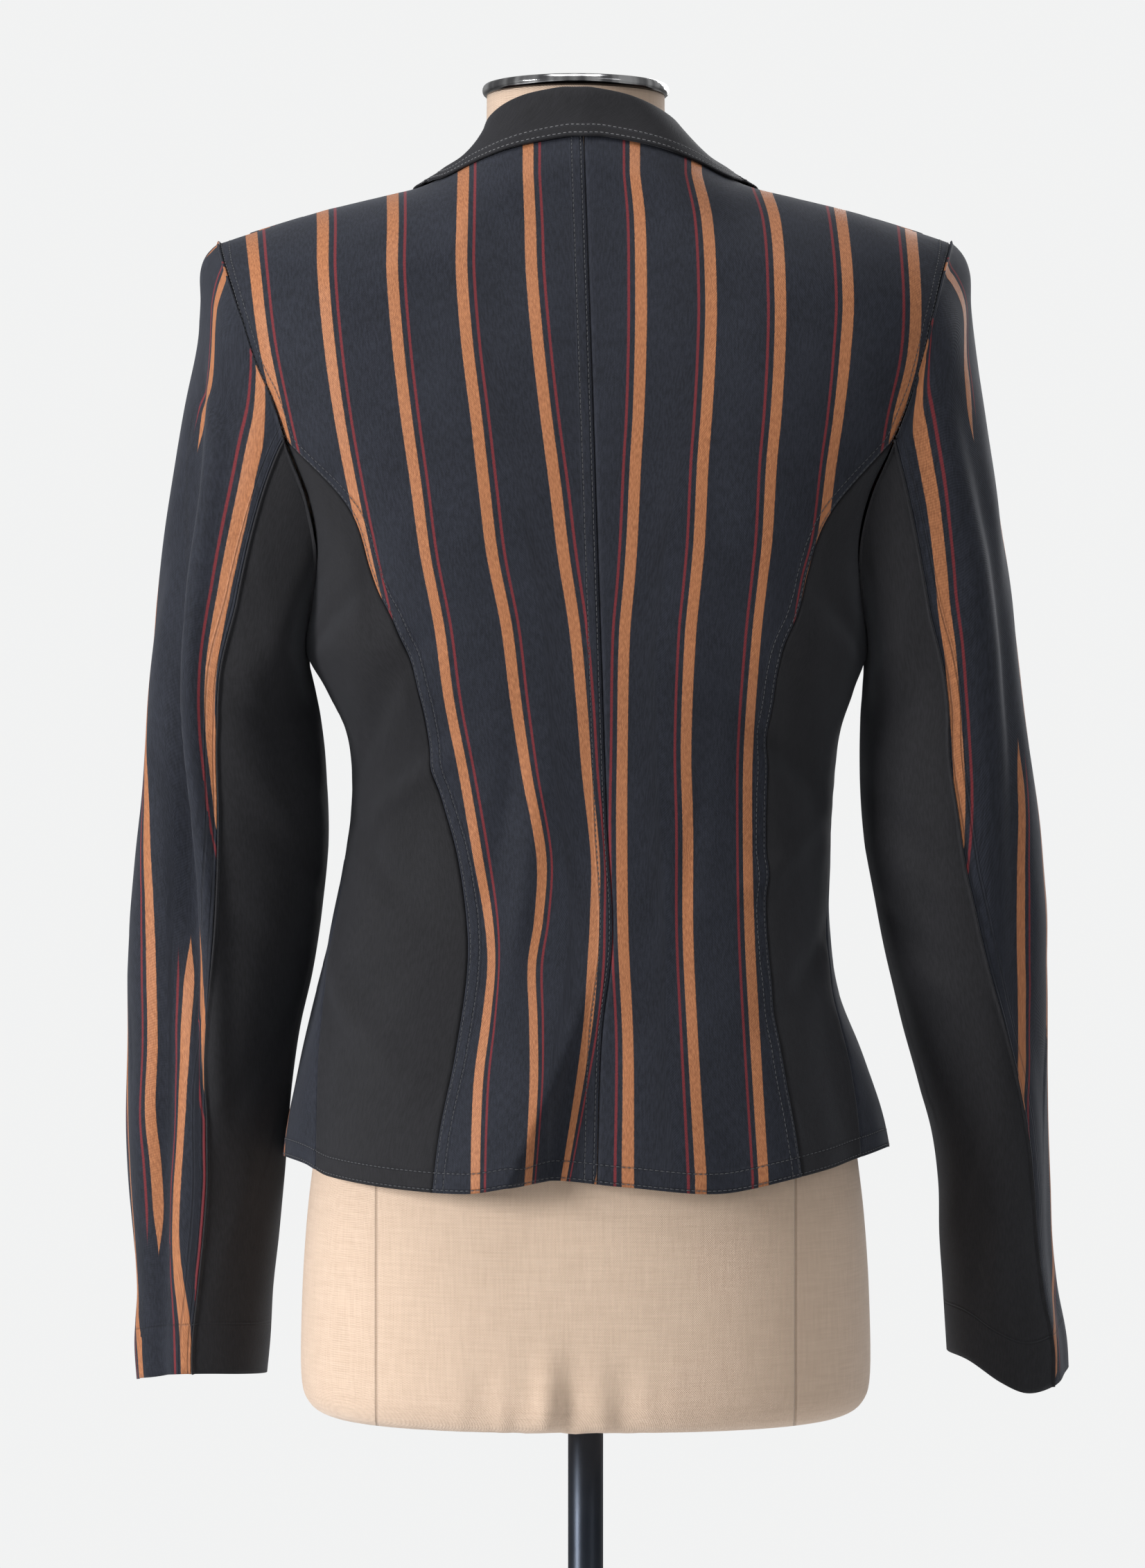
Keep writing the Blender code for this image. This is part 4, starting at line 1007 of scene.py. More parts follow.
# Running stitches: a group that lays a short rounded stitch along a line at a steady pitch.
def stitch_group():
    group = bpy.data.node_groups.new("running_stitch", "GeometryNodeTree")
    face = group.interface
    face.new_socket(name="Line", in_out="INPUT", socket_type="NodeSocketGeometry")
    for name in ("Pitch", "Length", "Thickness"):
        face.new_socket(name=name, in_out="INPUT", socket_type="NodeSocketFloat")
    face.new_socket(name="Thread", in_out="INPUT", socket_type="NodeSocketMaterial")
    face.new_socket(name="Stitches", in_out="OUTPUT", socket_type="NodeSocketGeometry")
    given = group.nodes.new("NodeGroupInput")
    curve = group.nodes.new("GeometryNodeMeshToCurve")
    resample = group.nodes.new("GeometryNodeResampleCurve")
    resample.mode = "LENGTH"
    bead = group.nodes.new("GeometryNodeMeshUVSphere")
    bead.inputs["Segments"].default_value = 6
    bead.inputs["Rings"].default_value = 4
    bead.inputs["Radius"].default_value = 0.5
    size = group.nodes.new("ShaderNodeCombineXYZ")
    stretch = group.nodes.new("GeometryNodeTransform")
    tangent = group.nodes.new("GeometryNodeInputTangent")
    aim = group.nodes.new("FunctionNodeAlignRotationToVector")
    aim.axis = "X"
    lay = group.nodes.new("GeometryNodeInstanceOnPoints")
    real = group.nodes.new("GeometryNodeRealizeInstances")
    dye = group.nodes.new("GeometryNodeSetMaterial")
    end = group.nodes.new("NodeGroupOutput")
    for start, finish in (
        (given.outputs["Line"], curve.inputs["Mesh"]),
        (curve.outputs["Curve"], resample.inputs["Curve"]),
        (given.outputs["Pitch"], resample.inputs["Length"]),
        (given.outputs["Length"], size.inputs["X"]),
        (given.outputs["Thickness"], size.inputs["Y"]),
        (given.outputs["Thickness"], size.inputs["Z"]),
        (bead.outputs["Mesh"], stretch.inputs["Geometry"]),
        (size.outputs["Vector"], stretch.inputs["Scale"]),
        (tangent.outputs["Tangent"], aim.inputs["Vector"]),
        (resample.outputs["Curve"], lay.inputs["Points"]),
        (stretch.outputs["Geometry"], lay.inputs["Instance"]),
        (aim.outputs["Rotation"], lay.inputs["Rotation"]),
        (lay.outputs["Instances"], real.inputs["Geometry"]),
        (real.outputs["Geometry"], dye.inputs["Geometry"]),
        (given.outputs["Thread"], dye.inputs["Material"]),
        (dye.outputs["Geometry"], end.inputs["Stitches"]),
    ):
        group.links.new(start, finish)
    return group


running_stitch = stitch_group()
STITCH_PITCH, STITCH_LENGTH, STITCH_THICK = 2.9 * MM, 2.2 * MM, 0.5 * MM


def sewing_thread(name, dark, light):
    made, tree, shader = new_material(name, 0.6, **{"Sheen Weight": 0.3})
    tone = blended(tree, speckle(tree, object_place(tree), 700.0), dark, light)
    tree.links.new(tone, shader.inputs["Base Color"])
    return made


thread = sewing_thread("dark_thread", (0.014, 0.015, 0.020, 1), (0.062, 0.066, 0.078, 1))
# A paler copy of the dark thread, with a painted highlight, for the collar's stitches where the light catches
# them.
painted_highlight_thread = sewing_thread("painted_highlight_thread", (0.085, 0.085, 0.092, 1), (0.21, 0.21, 0.22, 1))


def stitched(name, lines, slot="plain_twill", yarn=thread):
    """Stitches along several lines, as one plain mesh."""
    corners, edges = [], []
    for line in lines:
        start = len(corners)
        corners += [tuple(point) for point in line]
        edges += [(start + at, start + at + 1) for at in range(len(line) - 1)]
    mesh = bpy.data.meshes.new(name)
    mesh.from_pydata(corners, edges, [])
    draft = bpy.data.objects.new(name + "_line", mesh)
    bpy.context.collection.objects.link(draft)
    sewing = draft.modifiers.new("sewing", "NODES")
    sewing.node_group = running_stitch
    sockets = {item.name: item.identifier for item in running_stitch.interface.items_tree}
    for key, value in (
        ("Pitch", STITCH_PITCH), ("Length", STITCH_LENGTH), ("Thickness", STITCH_THICK), ("Thread", yarn)
    ):
        sewing[sockets[key]] = value
    shown = draft.evaluated_get(bpy.context.evaluated_depsgraph_get())
    plain = bpy.data.meshes.new_from_object(shown)
    bpy.data.objects.remove(draft)
    plain.name = name
    plain.materials.clear()
    return finished(name, plain, yarn, slot)


RIB_PITCH, RIB_SLANT, RIB_DEPTH = 0.8 * MM, 0.55, 0.035 * MM
COPPER_RISE, GROOVE_DEPTH, PADDING, NAP = 0.12 * MM, -0.38 * MM, 0.45 * MM, 0.08 * MM


def twill_material(name, dark, light, striped):
    """Twill cloth: a fine diagonal weave, a mottled dye, sheen, and pressed stitch lines darkened with
    painted shade in their grooves.
    """
    made, tree, shader = new_material(name, 0.82, **{"Sheen Weight": 0.10, "Sheen Roughness": 0.4})
    shader.inputs["Sheen Tint"].default_value = (0.8, 0.84, 0.95, 1.0)
    shader.inputs["Specular IOR Level"].default_value = 0.3
    cloth = add_node(tree, "ShaderNodeUVMap", {"uv_map": "cloth"}).outputs[0]
    along = add_node(tree, "ShaderNodeSeparateXYZ", None, Vector=cloth).outputs
    mottle = speckle(tree, cloth, 1100.0, 3.0)
    cloudy = speckle(tree, cloth, 35.0)
    stretched = add_node(tree, "ShaderNodeMapping", None, Vector=cloth, Scale=(1.0, 0.22, 1.0)).outputs[0]
    yarns = speckle(tree, stretched, 950.0, 3.0)
    heather = calc(tree, "MULTIPLY_ADD", mottle, 0.8, calc(tree, "MULTIPLY_ADD", cloudy, 0.5, -0.55))
    heather = calc(tree, "MULTIPLY_ADD", between(tree, yarns, 0.3, 0.7), 0.5, heather)
    tone = blended(tree, heather, dark, light)
    diagonal = calc(tree, "ADD", along[0], calc(tree, "MULTIPLY", along[1], RIB_SLANT))
    ribs = calc(tree, "SINE", calc(tree, "MULTIPLY", diagonal, 2 * math.pi / RIB_PITCH))
    height = calc(tree, "MULTIPLY", ribs, RIB_DEPTH)
    if striped:
        wobble = calc(tree, "MULTIPLY_ADD", speckle(tree, cloth, 700.0), 0.5 * MM, -0.25 * MM)
        shifted = calc(tree, "ADD", along[0], wobble)
        repeats = calc(tree, "ADD", calc(tree, "DIVIDE", shifted, REPEAT), 0.5)
        centred = calc(tree, "SUBTRACT", calc(tree, "FRACT", repeats), 0.5)
        phase = calc(tree, "MULTIPLY", centred, REPEAT)
        from_copper = calc(tree, "ABSOLUTE", phase)
        showing = add_node(tree, "ShaderNodeAttribute", {"attribute_name": "showing"}).outputs["Fac"]
        tucked = calc(tree, "SUBTRACT", 1.0, calc(tree, "MINIMUM", showing, 1.0))
        from_copper = calc(tree, "MULTIPLY_ADD", tucked, COPPER_HALF + 0.5 * MM, from_copper)
        copper = fading(tree, from_copper, COPPER_HALF - 0.25 * MM, COPPER_HALF + 0.2 * MM)
        from_red = calc(tree, "ABSOLUTE", calc(tree, "SUBTRACT", phase, RED_AWAY))
        from_red = calc(tree, "MULTIPLY_ADD", tucked, RED_HALF + 0.5 * MM, from_red)
        red = fading(tree, from_red, RED_HALF - 0.35 * MM, RED_HALF + 0.25 * MM)
        satin = between(tree, speckle(tree, stretched, 1500.0, 3.0), 0.3, 0.72)
        copper_tone = blended(tree, satin, (0.24, 0.087, 0.036, 1), (0.48, 0.195, 0.085, 1))
        clouds = calc(tree, "MULTIPLY", cloudy, 0.6)
        copper_tone = blended(tree, clouds, copper_tone, (0.42, 0.165, 0.068, 1))
        red_tone = blended(tree, mottle, (0.085, 0.010, 0.014, 1), (0.22, 0.028, 0.036, 1))
        tone = blended(tree, red, blended(tree, copper, tone, copper_tone), red_tone)
        glossy = calc(tree, "MULTIPLY_ADD", copper, -0.28, 0.82)
        tree.links.new(glossy, shader.inputs["Roughness"])
        height = calc(tree, "MULTIPLY_ADD", copper, COPPER_RISE, height)
    else:
        dull = calc(tree, "MULTIPLY_ADD", mottle, 0.2, 0.66)
        tree.links.new(dull, shader.inputs["Roughness"])
    seam = add_node(tree, "ShaderNodeAttribute", {"attribute_name": "seam"}).outputs["Fac"]
    turnup = add_node(tree, "ShaderNodeAttribute", {"attribute_name": "turnup"}).outputs["Fac"]
    stitch_groove_and_shade = None
    for distance, lines in ((seam, SEAM_ROWS), (turnup, HEM_LINES)):
        for line in lines:
            off = calc(tree, "ABSOLUTE", calc(tree, "SUBTRACT", distance, line))
            groove = fading(tree, off, 0.1 * MM, 0.9 * MM)
            stitch_groove_and_shade = groove if stitch_groove_and_shade is None else calc(tree, "MAXIMUM", stitch_groove_and_shade, groove)
    padded_edge = fading(tree, seam, SEAM_ROWS[1] + 0.2 * MM, SEAM_ROWS[1] + 1.6 * MM)
    padded_hem = fading(tree, turnup, HEM_LINES[1] + 0.4 * MM, HEM_LINES[1] + 2.2 * MM)
    padded = calc(tree, "MAXIMUM", padded_edge, padded_hem)
    height = calc(tree, "MULTIPLY_ADD", stitch_groove_and_shade, GROOVE_DEPTH, height)
    height = calc(tree, "MULTIPLY_ADD", padded, PADDING, height)
    height = calc(tree, "MULTIPLY_ADD", mottle, NAP, height)
    # Painted shade: the cloth is darkened along the grooves of the stitch lines and the hem lines.
    tone = blended(tree, calc(tree, "MULTIPLY", stitch_groove_and_shade, 0.35), tone, (0.008, 0.009, 0.012, 1))
    tree.links.new(tone, shader.inputs["Base Color"])
    bump = add_node(tree, "ShaderNodeBump", None, Height=height, Strength=0.9, Distance=1.0)
    tree.links.new(bump.outputs[0], shader.inputs["Normal"])
    return made


NAVY = (0.007, 0.0085, 0.014, 1), (0.024, 0.0275, 0.041, 1)
BLACK = (0.006, 0.006, 0.0075, 1), (0.0165, 0.016, 0.0195, 1)
striped_twill = twill_material("striped_navy_twill", *NAVY, True)
plain_twill = twill_material("plain_black_twill", *BLACK, False)


def back_points(side, rows, columns):
    """The back panel's grid, from the centre seam to the armhole and princess seam."""
    all_rows = 90 // ARMHOLE_STEP + HEM_ROWS

    def centre(share):
        height = stepped(share, NAPE_HEIGHT, BLADE_HEIGHT, hem_height(0.0), 90, all_rows)
        return turn_at(read(CENTRE_BACK, "across", height) * MM, height), height

    def outer(share):
        row = share * all_rows
        if row <= 90 / ARMHOLE_STEP:
            return armhole(side, row * ARMHOLE_STEP)
        return princess_run(side, (row - 90 / ARMHOLE_STEP) / HEM_ROWS)

    def shoulder(share):
        neck = 1 / 3
        start = read(CENTRE_BACK, "across", NAPE_HEIGHT) * MM
        end = side * read(ARMHOLE_BACK[side], "across", ARMHOLE_TOP) * MM
        if share <= neck:
            across = mix(start, side * NECK_POINT_ACROSS, share / neck)
            part = min(abs(across) / NECK_POINT_ACROSS, 1.0)
            height = mix(NAPE_HEIGHT, ridge_height(NECK_POINT_ACROSS), part**3.2)
        else:
            across = mix(side * NECK_POINT_ACROSS, end, (share - neck) / (1 - neck))
            height = ridge_height(across)
        return turn_at(across, height), height

    def hem(share):
        turn = mix(centre(1.0)[0], outer(1.0)[0], share)
        return turn, hem_height(turn)

    return placed(patch(shares(rows, True, False), shares(columns), centre, outer, shoulder, hem))


STRIPE_ORDER = ("first", "second", "third", "fourth", "fifth")
for side, word in ((LEFT, "left"), (RIGHT, "right")):
    flip = side == LEFT
    seamed = {"first": RAISED if side == LEFT else SUNK, "last": RAISED, "top": JOINED}
    points = relieved(back_points(side, *BACK_GRID), flip, seamed)
    table = LEFT_STRIPES if side == LEFT else RIGHT_STRIPES
    across = []
    order = STRIPE_ORDER if side == LEFT else STRIPE_ORDER[::-1]
    for line in points:
        across.append([REPEAT * stripe_share(table, order, *to_photo(point)) for point in line])
    stitched_edges = ("first", "last") if side == LEFT else ("last",)
    name, seam = f"back_panel_{word}", nearest(points, stitched_edges)
    mesh = dressed_mesh(name, points, flip, across, seam, distances(points, "foot"))
    panel = cloth_panel(name, mesh, striped_twill, "striped_twill", f"back_{word}")
    lines = [inset_line(points, edge, row, 1) for edge in stitched_edges for row in SEAM_ROWS]
    lines += [inset_line(points, "foot", row, 1) for row in HEM_LINES]
    sewing = stitched(f"back_stitches_{word}", lines)

# Side panels. Two panels of plain black twill under the arms, from the armhole to the hem,
# sewn to the back at the curved princess seam and to the front at the side seam.
SIDE_SEAM_ANGLE, SIDE_FOOT, SIDE_GRID = 195, 898 * MM, (140, 54)
Turn = namedtuple("Turn", "height degrees")
SIDE_SEAM = [
    Turn(880, 65),
    Turn(905, 67),
    Turn(950, 71),
    Turn(1010, 77),
    Turn(1060, 84),
    Turn(1110, 89),
    Turn(1181, 96),
]


def side_run(side, share):
    """The side seam from the armhole to the hem."""
    start = armhole(side, SIDE_SEAM_ANGLE)
    foot = hem_height(side * read(SIDE_SEAM, "degrees", SIDE_FOOT))
    height = mix(start[1], foot, share)
    turn = side * read(SIDE_SEAM, "degrees", height)
    return mix(start[0], turn, ease(share * HEM_ROWS)), height


def side_points(side, rows, columns):
    """The side panel's grid, from the princess seam to the side seam."""

    def under_arm(share):
        return armhole(side, mix(90, SIDE_SEAM_ANGLE, share))

    def hem(share):
        turn = mix(princess_run(side, 1.0)[0], side_run(side, 1.0)[0], share)
        return turn, hem_height(turn)

    return placed(patch(
        shares(rows, True, False), shares(columns),
        lambda share: princess_run(side, share), lambda share: side_run(side, share), under_arm, hem,
    ))


for side, word in ((LEFT, "left"), (RIGHT, "right")):
    flip = side == LEFT
    points = relieved(side_points(side, *SIDE_GRID), flip, {"first": SUNK, "last": JOINED, "top": JOINED})
    mesh = dressed_mesh(
        f"side_panel_{word}", points, flip, distances(points, "first"), None, distances(points, "foot")
    )
    panel = cloth_panel(f"side_panel_{word}", mesh, plain_twill, "plain_twill", f"side_{word}")
    sewing = stitched(f"side_stitches_{word}", [inset_line(points, "foot", row, 1) for row in HEM_LINES])

# Fronts. Two striped panels that cross at the middle, the wearer's right one on top, and
# curve away below the lower button. Each ends at its lapel's roll line, and its stripes stop
# short of the side seam at a pressed line.
BUST_HEIGHT, BREAK_HEIGHT, CUTAWAY_HEIGHT = 1190 * MM, 1200 * MM, 985 * MM
CUTAWAY, BUTTON_STAND, GORGE_ACROSS, GORGE_HEIGHT = 34 * MM, 15 * MM, 68 * MM, 1402 * MM
LAPEL_CURVE, CUTAWAY_CURVE = 0.92, 2.2
OVERLAP_LIFT, OVERLAP_ACROSS, OVERLAP_FADE = 2.6 * MM, 28 * MM, 40 * MM
OVERLAP_TOP, OVERLAP_TOP_FADE = BREAK_HEIGHT + 20 * MM, 50 * MM
FIRST_STRIPE, DART_SHARE = 1.5 * MM, 0.5
PLAIN_SIDE, PLAIN_TOP, PLAIN_FADE = 52 * MM, 1225 * MM, 70 * MM
ARC_TOP, ARC_FIRST, ARC_LAST, FRONT_GRID = 1455 * MM, 60, 210, (180, 70)
ArcTable = namedtuple("ArcTable", "low level first step lengths")


def arc_table(point_at, low, high, first, last, step=3.0, level=8 * MM):
    """Lengths along level rings, from the first angle, for even heights and angles."""
    lengths = []
    for floor_count in range(int((high - low) / level) + 2):
        height = low + floor_count * level
        counts = range(int((last - first) / step) + 2)
        spots = [point_at(first + step * count, height) for count in counts]
        line = [0.0]
        for before, after in zip(spots, spots[1:]):
            line.append(line[-1] + (after - before).length)
        lengths.append(line)
    return ArcTable(low, level, first, step, lengths)


def arc_at(table, height, degrees):
    """The length from the table's first angle to this one, at this height."""
    rise = min(max((height - table.low) / table.level, 0.0), len(table.lengths) - 1.001)
    over = min(max((degrees - table.first) / table.step, 0.0), len(table.lengths[0]) - 1.001)
    row, column = int(rise), int(over)
    found = []
    for line in (table.lengths[row], table.lengths[row + 1]):
        found.append(mix(line[column], line[column + 1], over - column))
    return mix(found[0], found[1], rise - row)


def front_turn(side, across, height):
    """A turn on the front, counted on from this side's 90 past the middle at 180."""
    turn = turn_at(across, height, FRONT)
    return turn if turn * side > 0 else turn + side * 360


def front_edge(side, height):
    """How far across the front's inner edge lies: neck, lapel fold, overlap, then cutaway."""
    past = -BUTTON_STAND
    if height > GORGE_HEIGHT:
        share = (height - GORGE_HEIGHT) / (ridge_height(NECK_POINT_ACROSS) - GORGE_HEIGHT)
        return side * mix(GORGE_ACROSS, NECK_POINT_ACROSS, share)
    if height > BREAK_HEIGHT:
        share = (height - BREAK_HEIGHT) / (GORGE_HEIGHT - BREAK_HEIGHT)
        return side * mix(past, GORGE_ACROSS, share**LAPEL_CURVE)
    away = max(0.0, (CUTAWAY_HEIGHT - height) / (CUTAWAY_HEIGHT - FRONT_HEM))
    return side * (past + (CUTAWAY + BUTTON_STAND) * away**CUTAWAY_CURVE)


def overlap_lift(point):
    """How far the upper front stands clear of the under front where they cross."""
    near = 1 - ease((point.x - OVERLAP_ACROSS) / OVERLAP_FADE)
    low = 1 - ease((point.z - OVERLAP_TOP) / OVERLAP_TOP_FADE)
    return OVERLAP_LIFT * near * low if point.y > 0 else 0.0


def front_spots(side, rows, columns):
    """The front's grid of (turn, height), from its inner edge to the armhole and side seam."""
    curved = (360 - SIDE_SEAM_ANGLE) / ARMHOLE_STEP
    all_rows = curved + HEM_ROWS

    def outer(share):
        row = share * all_rows
        if row <= curved:
            return armhole(side, min(360 - row * ARMHOLE_STEP, 359.99))
        return side_run(side, (row - curved) / HEM_ROWS)

    def inner(share):
        top = ridge_height(NECK_POINT_ACROSS)
        height = stepped(share, top, BUST_HEIGHT, FRONT_HEM, 360 - SIDE_SEAM_ANGLE, all_rows)
        return front_turn(side, front_edge(side, height), height), height

    def shoulder(share):
        end = read(ARMHOLE_BACK[side], "across", ARMHOLE_TOP) * MM
        across = mix(NECK_POINT_ACROSS, end, share)
        height = ridge_height(across)
        return turn_at(side * across, height, FRONT), height

    def hem(share):
        turn = mix(inner(1.0)[0], outer(1.0)[0], share)
        return turn, hem_height(turn)

    return patch(shares(rows, True, False), shares(columns, False, True), inner, outer, shoulder, hem)


def front_place(side, arcs, turn, height):
    """How far from the centre front, with what the waist dart takes up left out beyond it."""
    place = arc_at(arcs, height, side * turn) - arc_at(arcs, height, 180)
    if height > BUST_HEIGHT:
        return place
    low, top = (
        arc_at(arcs, at, read(SIDE_SEAM, "degrees", at)) - arc_at(arcs, at, 180)
        for at in (height, BUST_HEIGHT)
    )
    return place - (low - top if place < DART_SHARE * low else 0.0)


for side, word in ((LEFT, "left"), (RIGHT, "right")):
    arcs = arc_table(
        lambda turn, height: body_point(wrap(side * turn), height), HEM_LOW, ARC_TOP, ARC_FIRST, ARC_LAST
    )
    spots = front_spots(side, *FRONT_GRID)
    points = placed(spots)
    if side == RIGHT:
        points = [[point + Vector((0.0, overlap_lift(point), 0.0)) for point in line] for line in points]
    flip = side == RIGHT
    points = relieved(points, flip, {"last": JOINED, "top": JOINED})
    across = [
        [FIRST_STRIPE + front_place(side, arcs, turn, height) for turn, height in line] for line in spots
    ]
    beside, showing = distances(points, "first"), []
    for line, gaps, near in zip(points, distances(points, "last"), beside):
        plain = [PLAIN_SIDE * ease((PLAIN_TOP - point.z) / PLAIN_FADE) for point in line]
        showing.append([ease((gap - wide) / MM) for gap, wide in zip(gaps, plain)])
        near[:] = [
            min(close, abs(gap - wide) + (OUT_OF_REACH if wide < MM else 0.0))
            for close, gap, wide in zip(near, gaps, plain)
        ]
    name = f"front_panel_{word}"
    mesh = dressed_mesh(name, points, flip, across, beside, distances(points, "foot"), showing)
    panel = cloth_panel(name, mesh, striped_twill, "striped_twill", f"front_{word}")
    lines = [inset_line(points, "first", row, 2) for row in SEAM_ROWS]
    lines += [inset_line(points, "foot", row, 2) for row in HEM_LINES]
    sewing = stitched(f"front_stitches_{word}", lines)

# Sleeves. Each is a striped top sleeve and a plain under sleeve, sewn to each other behind
# the arm and inside it, eased into the armhole and turned up at the cuff. They hang empty,
# so each has long soft creases of its own down the arm and short ones at the elbow.
Ring = namedtuple("Ring", "height outer inner centre depth seam")
SLEEVE = {
    LEFT: [
        Ring(762, 255, 183, 55, 42, 88),
        Ring(790, 257, 180, 51, 43, 88),
        Ring(820, 255, 177.5, 45, 44, 90),
        Ring(850, 256, 174, 38, 45, 93),
        Ring(880, 257.5, 171, 31, 46, 95),
        Ring(910, 258, 168.5, 24, 48, 94),
        Ring(940, 257, 165, 18, 49.5, 92),
        Ring(970, 255.5, 160, 13, 50.5, 90),
        Ring(1000, 254, 153, 9, 51, 88),
        Ring(1030, 252, 148, 6, 52, 86),
        Ring(1060, 249, 145, 4, 54, 84),
        Ring(1090, 246, 144.5, 2, 56, 83),
        Ring(1120, 244, 147, 1, 60, 83),
        Ring(1150, 242, 151, 0, 63, 85),
        Ring(1177, 240, 153.5, 0, 66, 87),
        Ring(1230, 235, 153, 0, 70, 89),
        Ring(1291, 226, 155, 0, 71, 90),
        Ring(1348, 215.5, 158, 0, 63, 90),
        Ring(1371, 213.5, 160, 0, 54, 90),
        Ring(1390, 214.5, 162, 0, 41, 90),
        Ring(1406, 213.5, 164, 0, 24, 90),
    ],
    RIGHT: [
        Ring(762, 274, 208, 55, 45, 52),
        Ring(790, 272, 206, 51, 46, 49),
        Ring(820, 266, 203.5, 45, 48, 51),
        Ring(850, 262, 201, 38, 50, 53),
        Ring(880, 260.5, 200, 31, 52, 56),
        Ring(910, 259, 195.5, 24, 54, 59),
        Ring(940, 258, 186.5, 18, 55, 64),
        Ring(970, 257, 177, 13, 55.5, 71),
        Ring(1000, 256, 169, 9, 56, 78),
        Ring(1030, 254.5, 163, 6, 56, 83),
        Ring(1060, 252, 158.5, 4, 57, 87),
        Ring(1090, 249.5, 155, 2, 58, 89),
        Ring(1120, 246.5, 154, 1, 60, 92),
        Ring(1150, 243, 154.5, 0, 63, 91),
        Ring(1177, 240, 155, 0, 66, 90),
        Ring(1230, 233, 154, 0, 70, 90),
        Ring(1291, 224, 156, 0, 71, 90),
        Ring(1348, 215, 158, 0, 63, 90),
        Ring(1371, 212.5, 160, 0, 54, 90),
        Ring(1390, 213, 162, 0, 41, 90),
        Ring(1406, 212.5, 164, 0, 24, 90),
    ],
}
CAP_ROWS, ARM_ROWS, CAP_FOOT, CAP_CURVE = 8, 10, 1140 * MM, 1.8
CAP_FADE, CAP_FADE_BEHIND, CAP_FADE_INSIDE = 7 * MM, 75 * MM, 6 * MM
LAP_FROM, LAP_OVER, LAP_CLEAR, SLEEVE_TUCK, TUCK_DEPTH = 0.35, 0.6, 0.15 * MM, 1.0 * MM, 1.1 * MM
FRONT_SLEEVE_SEAM, CUFF_TURNUP, CUFF_PLAIN, CUFF_SEAM_FOOT = 240, 29 * MM, 4 * MM, 768 * MM
SLEEVE_DEGREE, SLEEVE_STRETCH, SLEEVE_ROWS, TOP_COLUMNS, UNDER_COLUMNS = 0.95, 0.6, 190, 84, 60
Spot = namedtuple("Spot", "degrees height")
CUFF = {
    LEFT: [Spot(-180, 771), Spot(-90, 768), Spot(0, 767), Spot(42, 771), Spot(90, 775), Spot(180, 771)],
    RIGHT: [
        Spot(-180, 784), Spot(-90, 774), Spot(0, 774), Spot(50, 767),
        Spot(80, 764), Spot(105, 770), Spot(140, 782), Spot(180, 784),
    ],
}
# A crease's valley down the sleeve, from its foot up: where it lies and how deep it is. Each
# of its two sides has its own spread, and a soft ridge lies beside it.
Crease = namedtuple("Crease", "seam_spread far_spread ridge path")
Valley = namedtuple("Valley", "height degrees depth")
CREASES = {
    LEFT: [
        Crease(5.5, 20, 0.42, [
            Valley(900, 97, 0), Valley(925, 93, 2), Valley(955, 86, 5), Valley(983, 81, 8),
            Valley(1022, 73, 12), Valley(1081, 61, 15), Valley(1139, 54, 15), Valley(1211, 50, 12),
            Valley(1270, 49, 9), Valley(1312, 42, 6), Valley(1340, 32, 2), Valley(1361, 22, 0),
        ]),
        Crease(12, 15, 0.15, [
            Valley(740, 60, 5), Valley(812, 58, 6), Valley(869, 59, 8), Valley(927, 62, 8),
            Valley(985, 58, 5), Valley(1040, 50, 0),
        ]),
        Crease(20, 14, 0.1, [
            Valley(740, 0, 2), Valley(830, 4, 3.5), Valley(930, 8, 2.5), Valley(1000, 6, 0),
        ]),
        Crease(24, 24, 0.1, [
            Valley(800, -70, 2), Valley(930, -62, 4), Valley(1050, -52, 5), Valley(1160, -44, 3),
            Valley(1260, -36, 0),
        ]),
        Crease(30, 26, 0.1, [
            Valley(930, 150, 0), Valley(990, 150, 3), Valley(1030, 150, 3), Valley(1070, 150, 0),
        ]),
    ],
    RIGHT: [
        Crease(9, 16, 0.3, [
            Valley(880, 62, 0), Valley(960, 62, 1.5), Valley(1050, 54, 2.5), Valley(1130, 43, 4),
            Valley(1200, 40, 5.5), Valley(1259, 44, 5), Valley(1300, 49, 3), Valley(1345, 52, 0),
        ]),
        Crease(24, 22, 0.1, [
            Valley(760, -60, 2), Valley(900, -58, 4), Valley(1040, -50, 5), Valley(1150, -46, 3),
            Valley(1250, -40, 0),
        ]),
        Crease(18, 18, 0.15, [
            Valley(740, 20, 2), Valley(820, 24, 3), Valley(900, 22, 2), Valley(960, 20, 0),
        ]),
        Crease(22, 22, 0.1, [
            Valley(740, 110, 1), Valley(830, 112, 3), Valley(930, 118, 2.5), Valley(1000, 122, 0),
        ]),
        Crease(30, 26, 0.1, [
            Valley(930, 170, 0), Valley(985, 170, 3), Valley(1030, 170, 3), Valley(1070, 170, 0),
        ]),
    ],
}
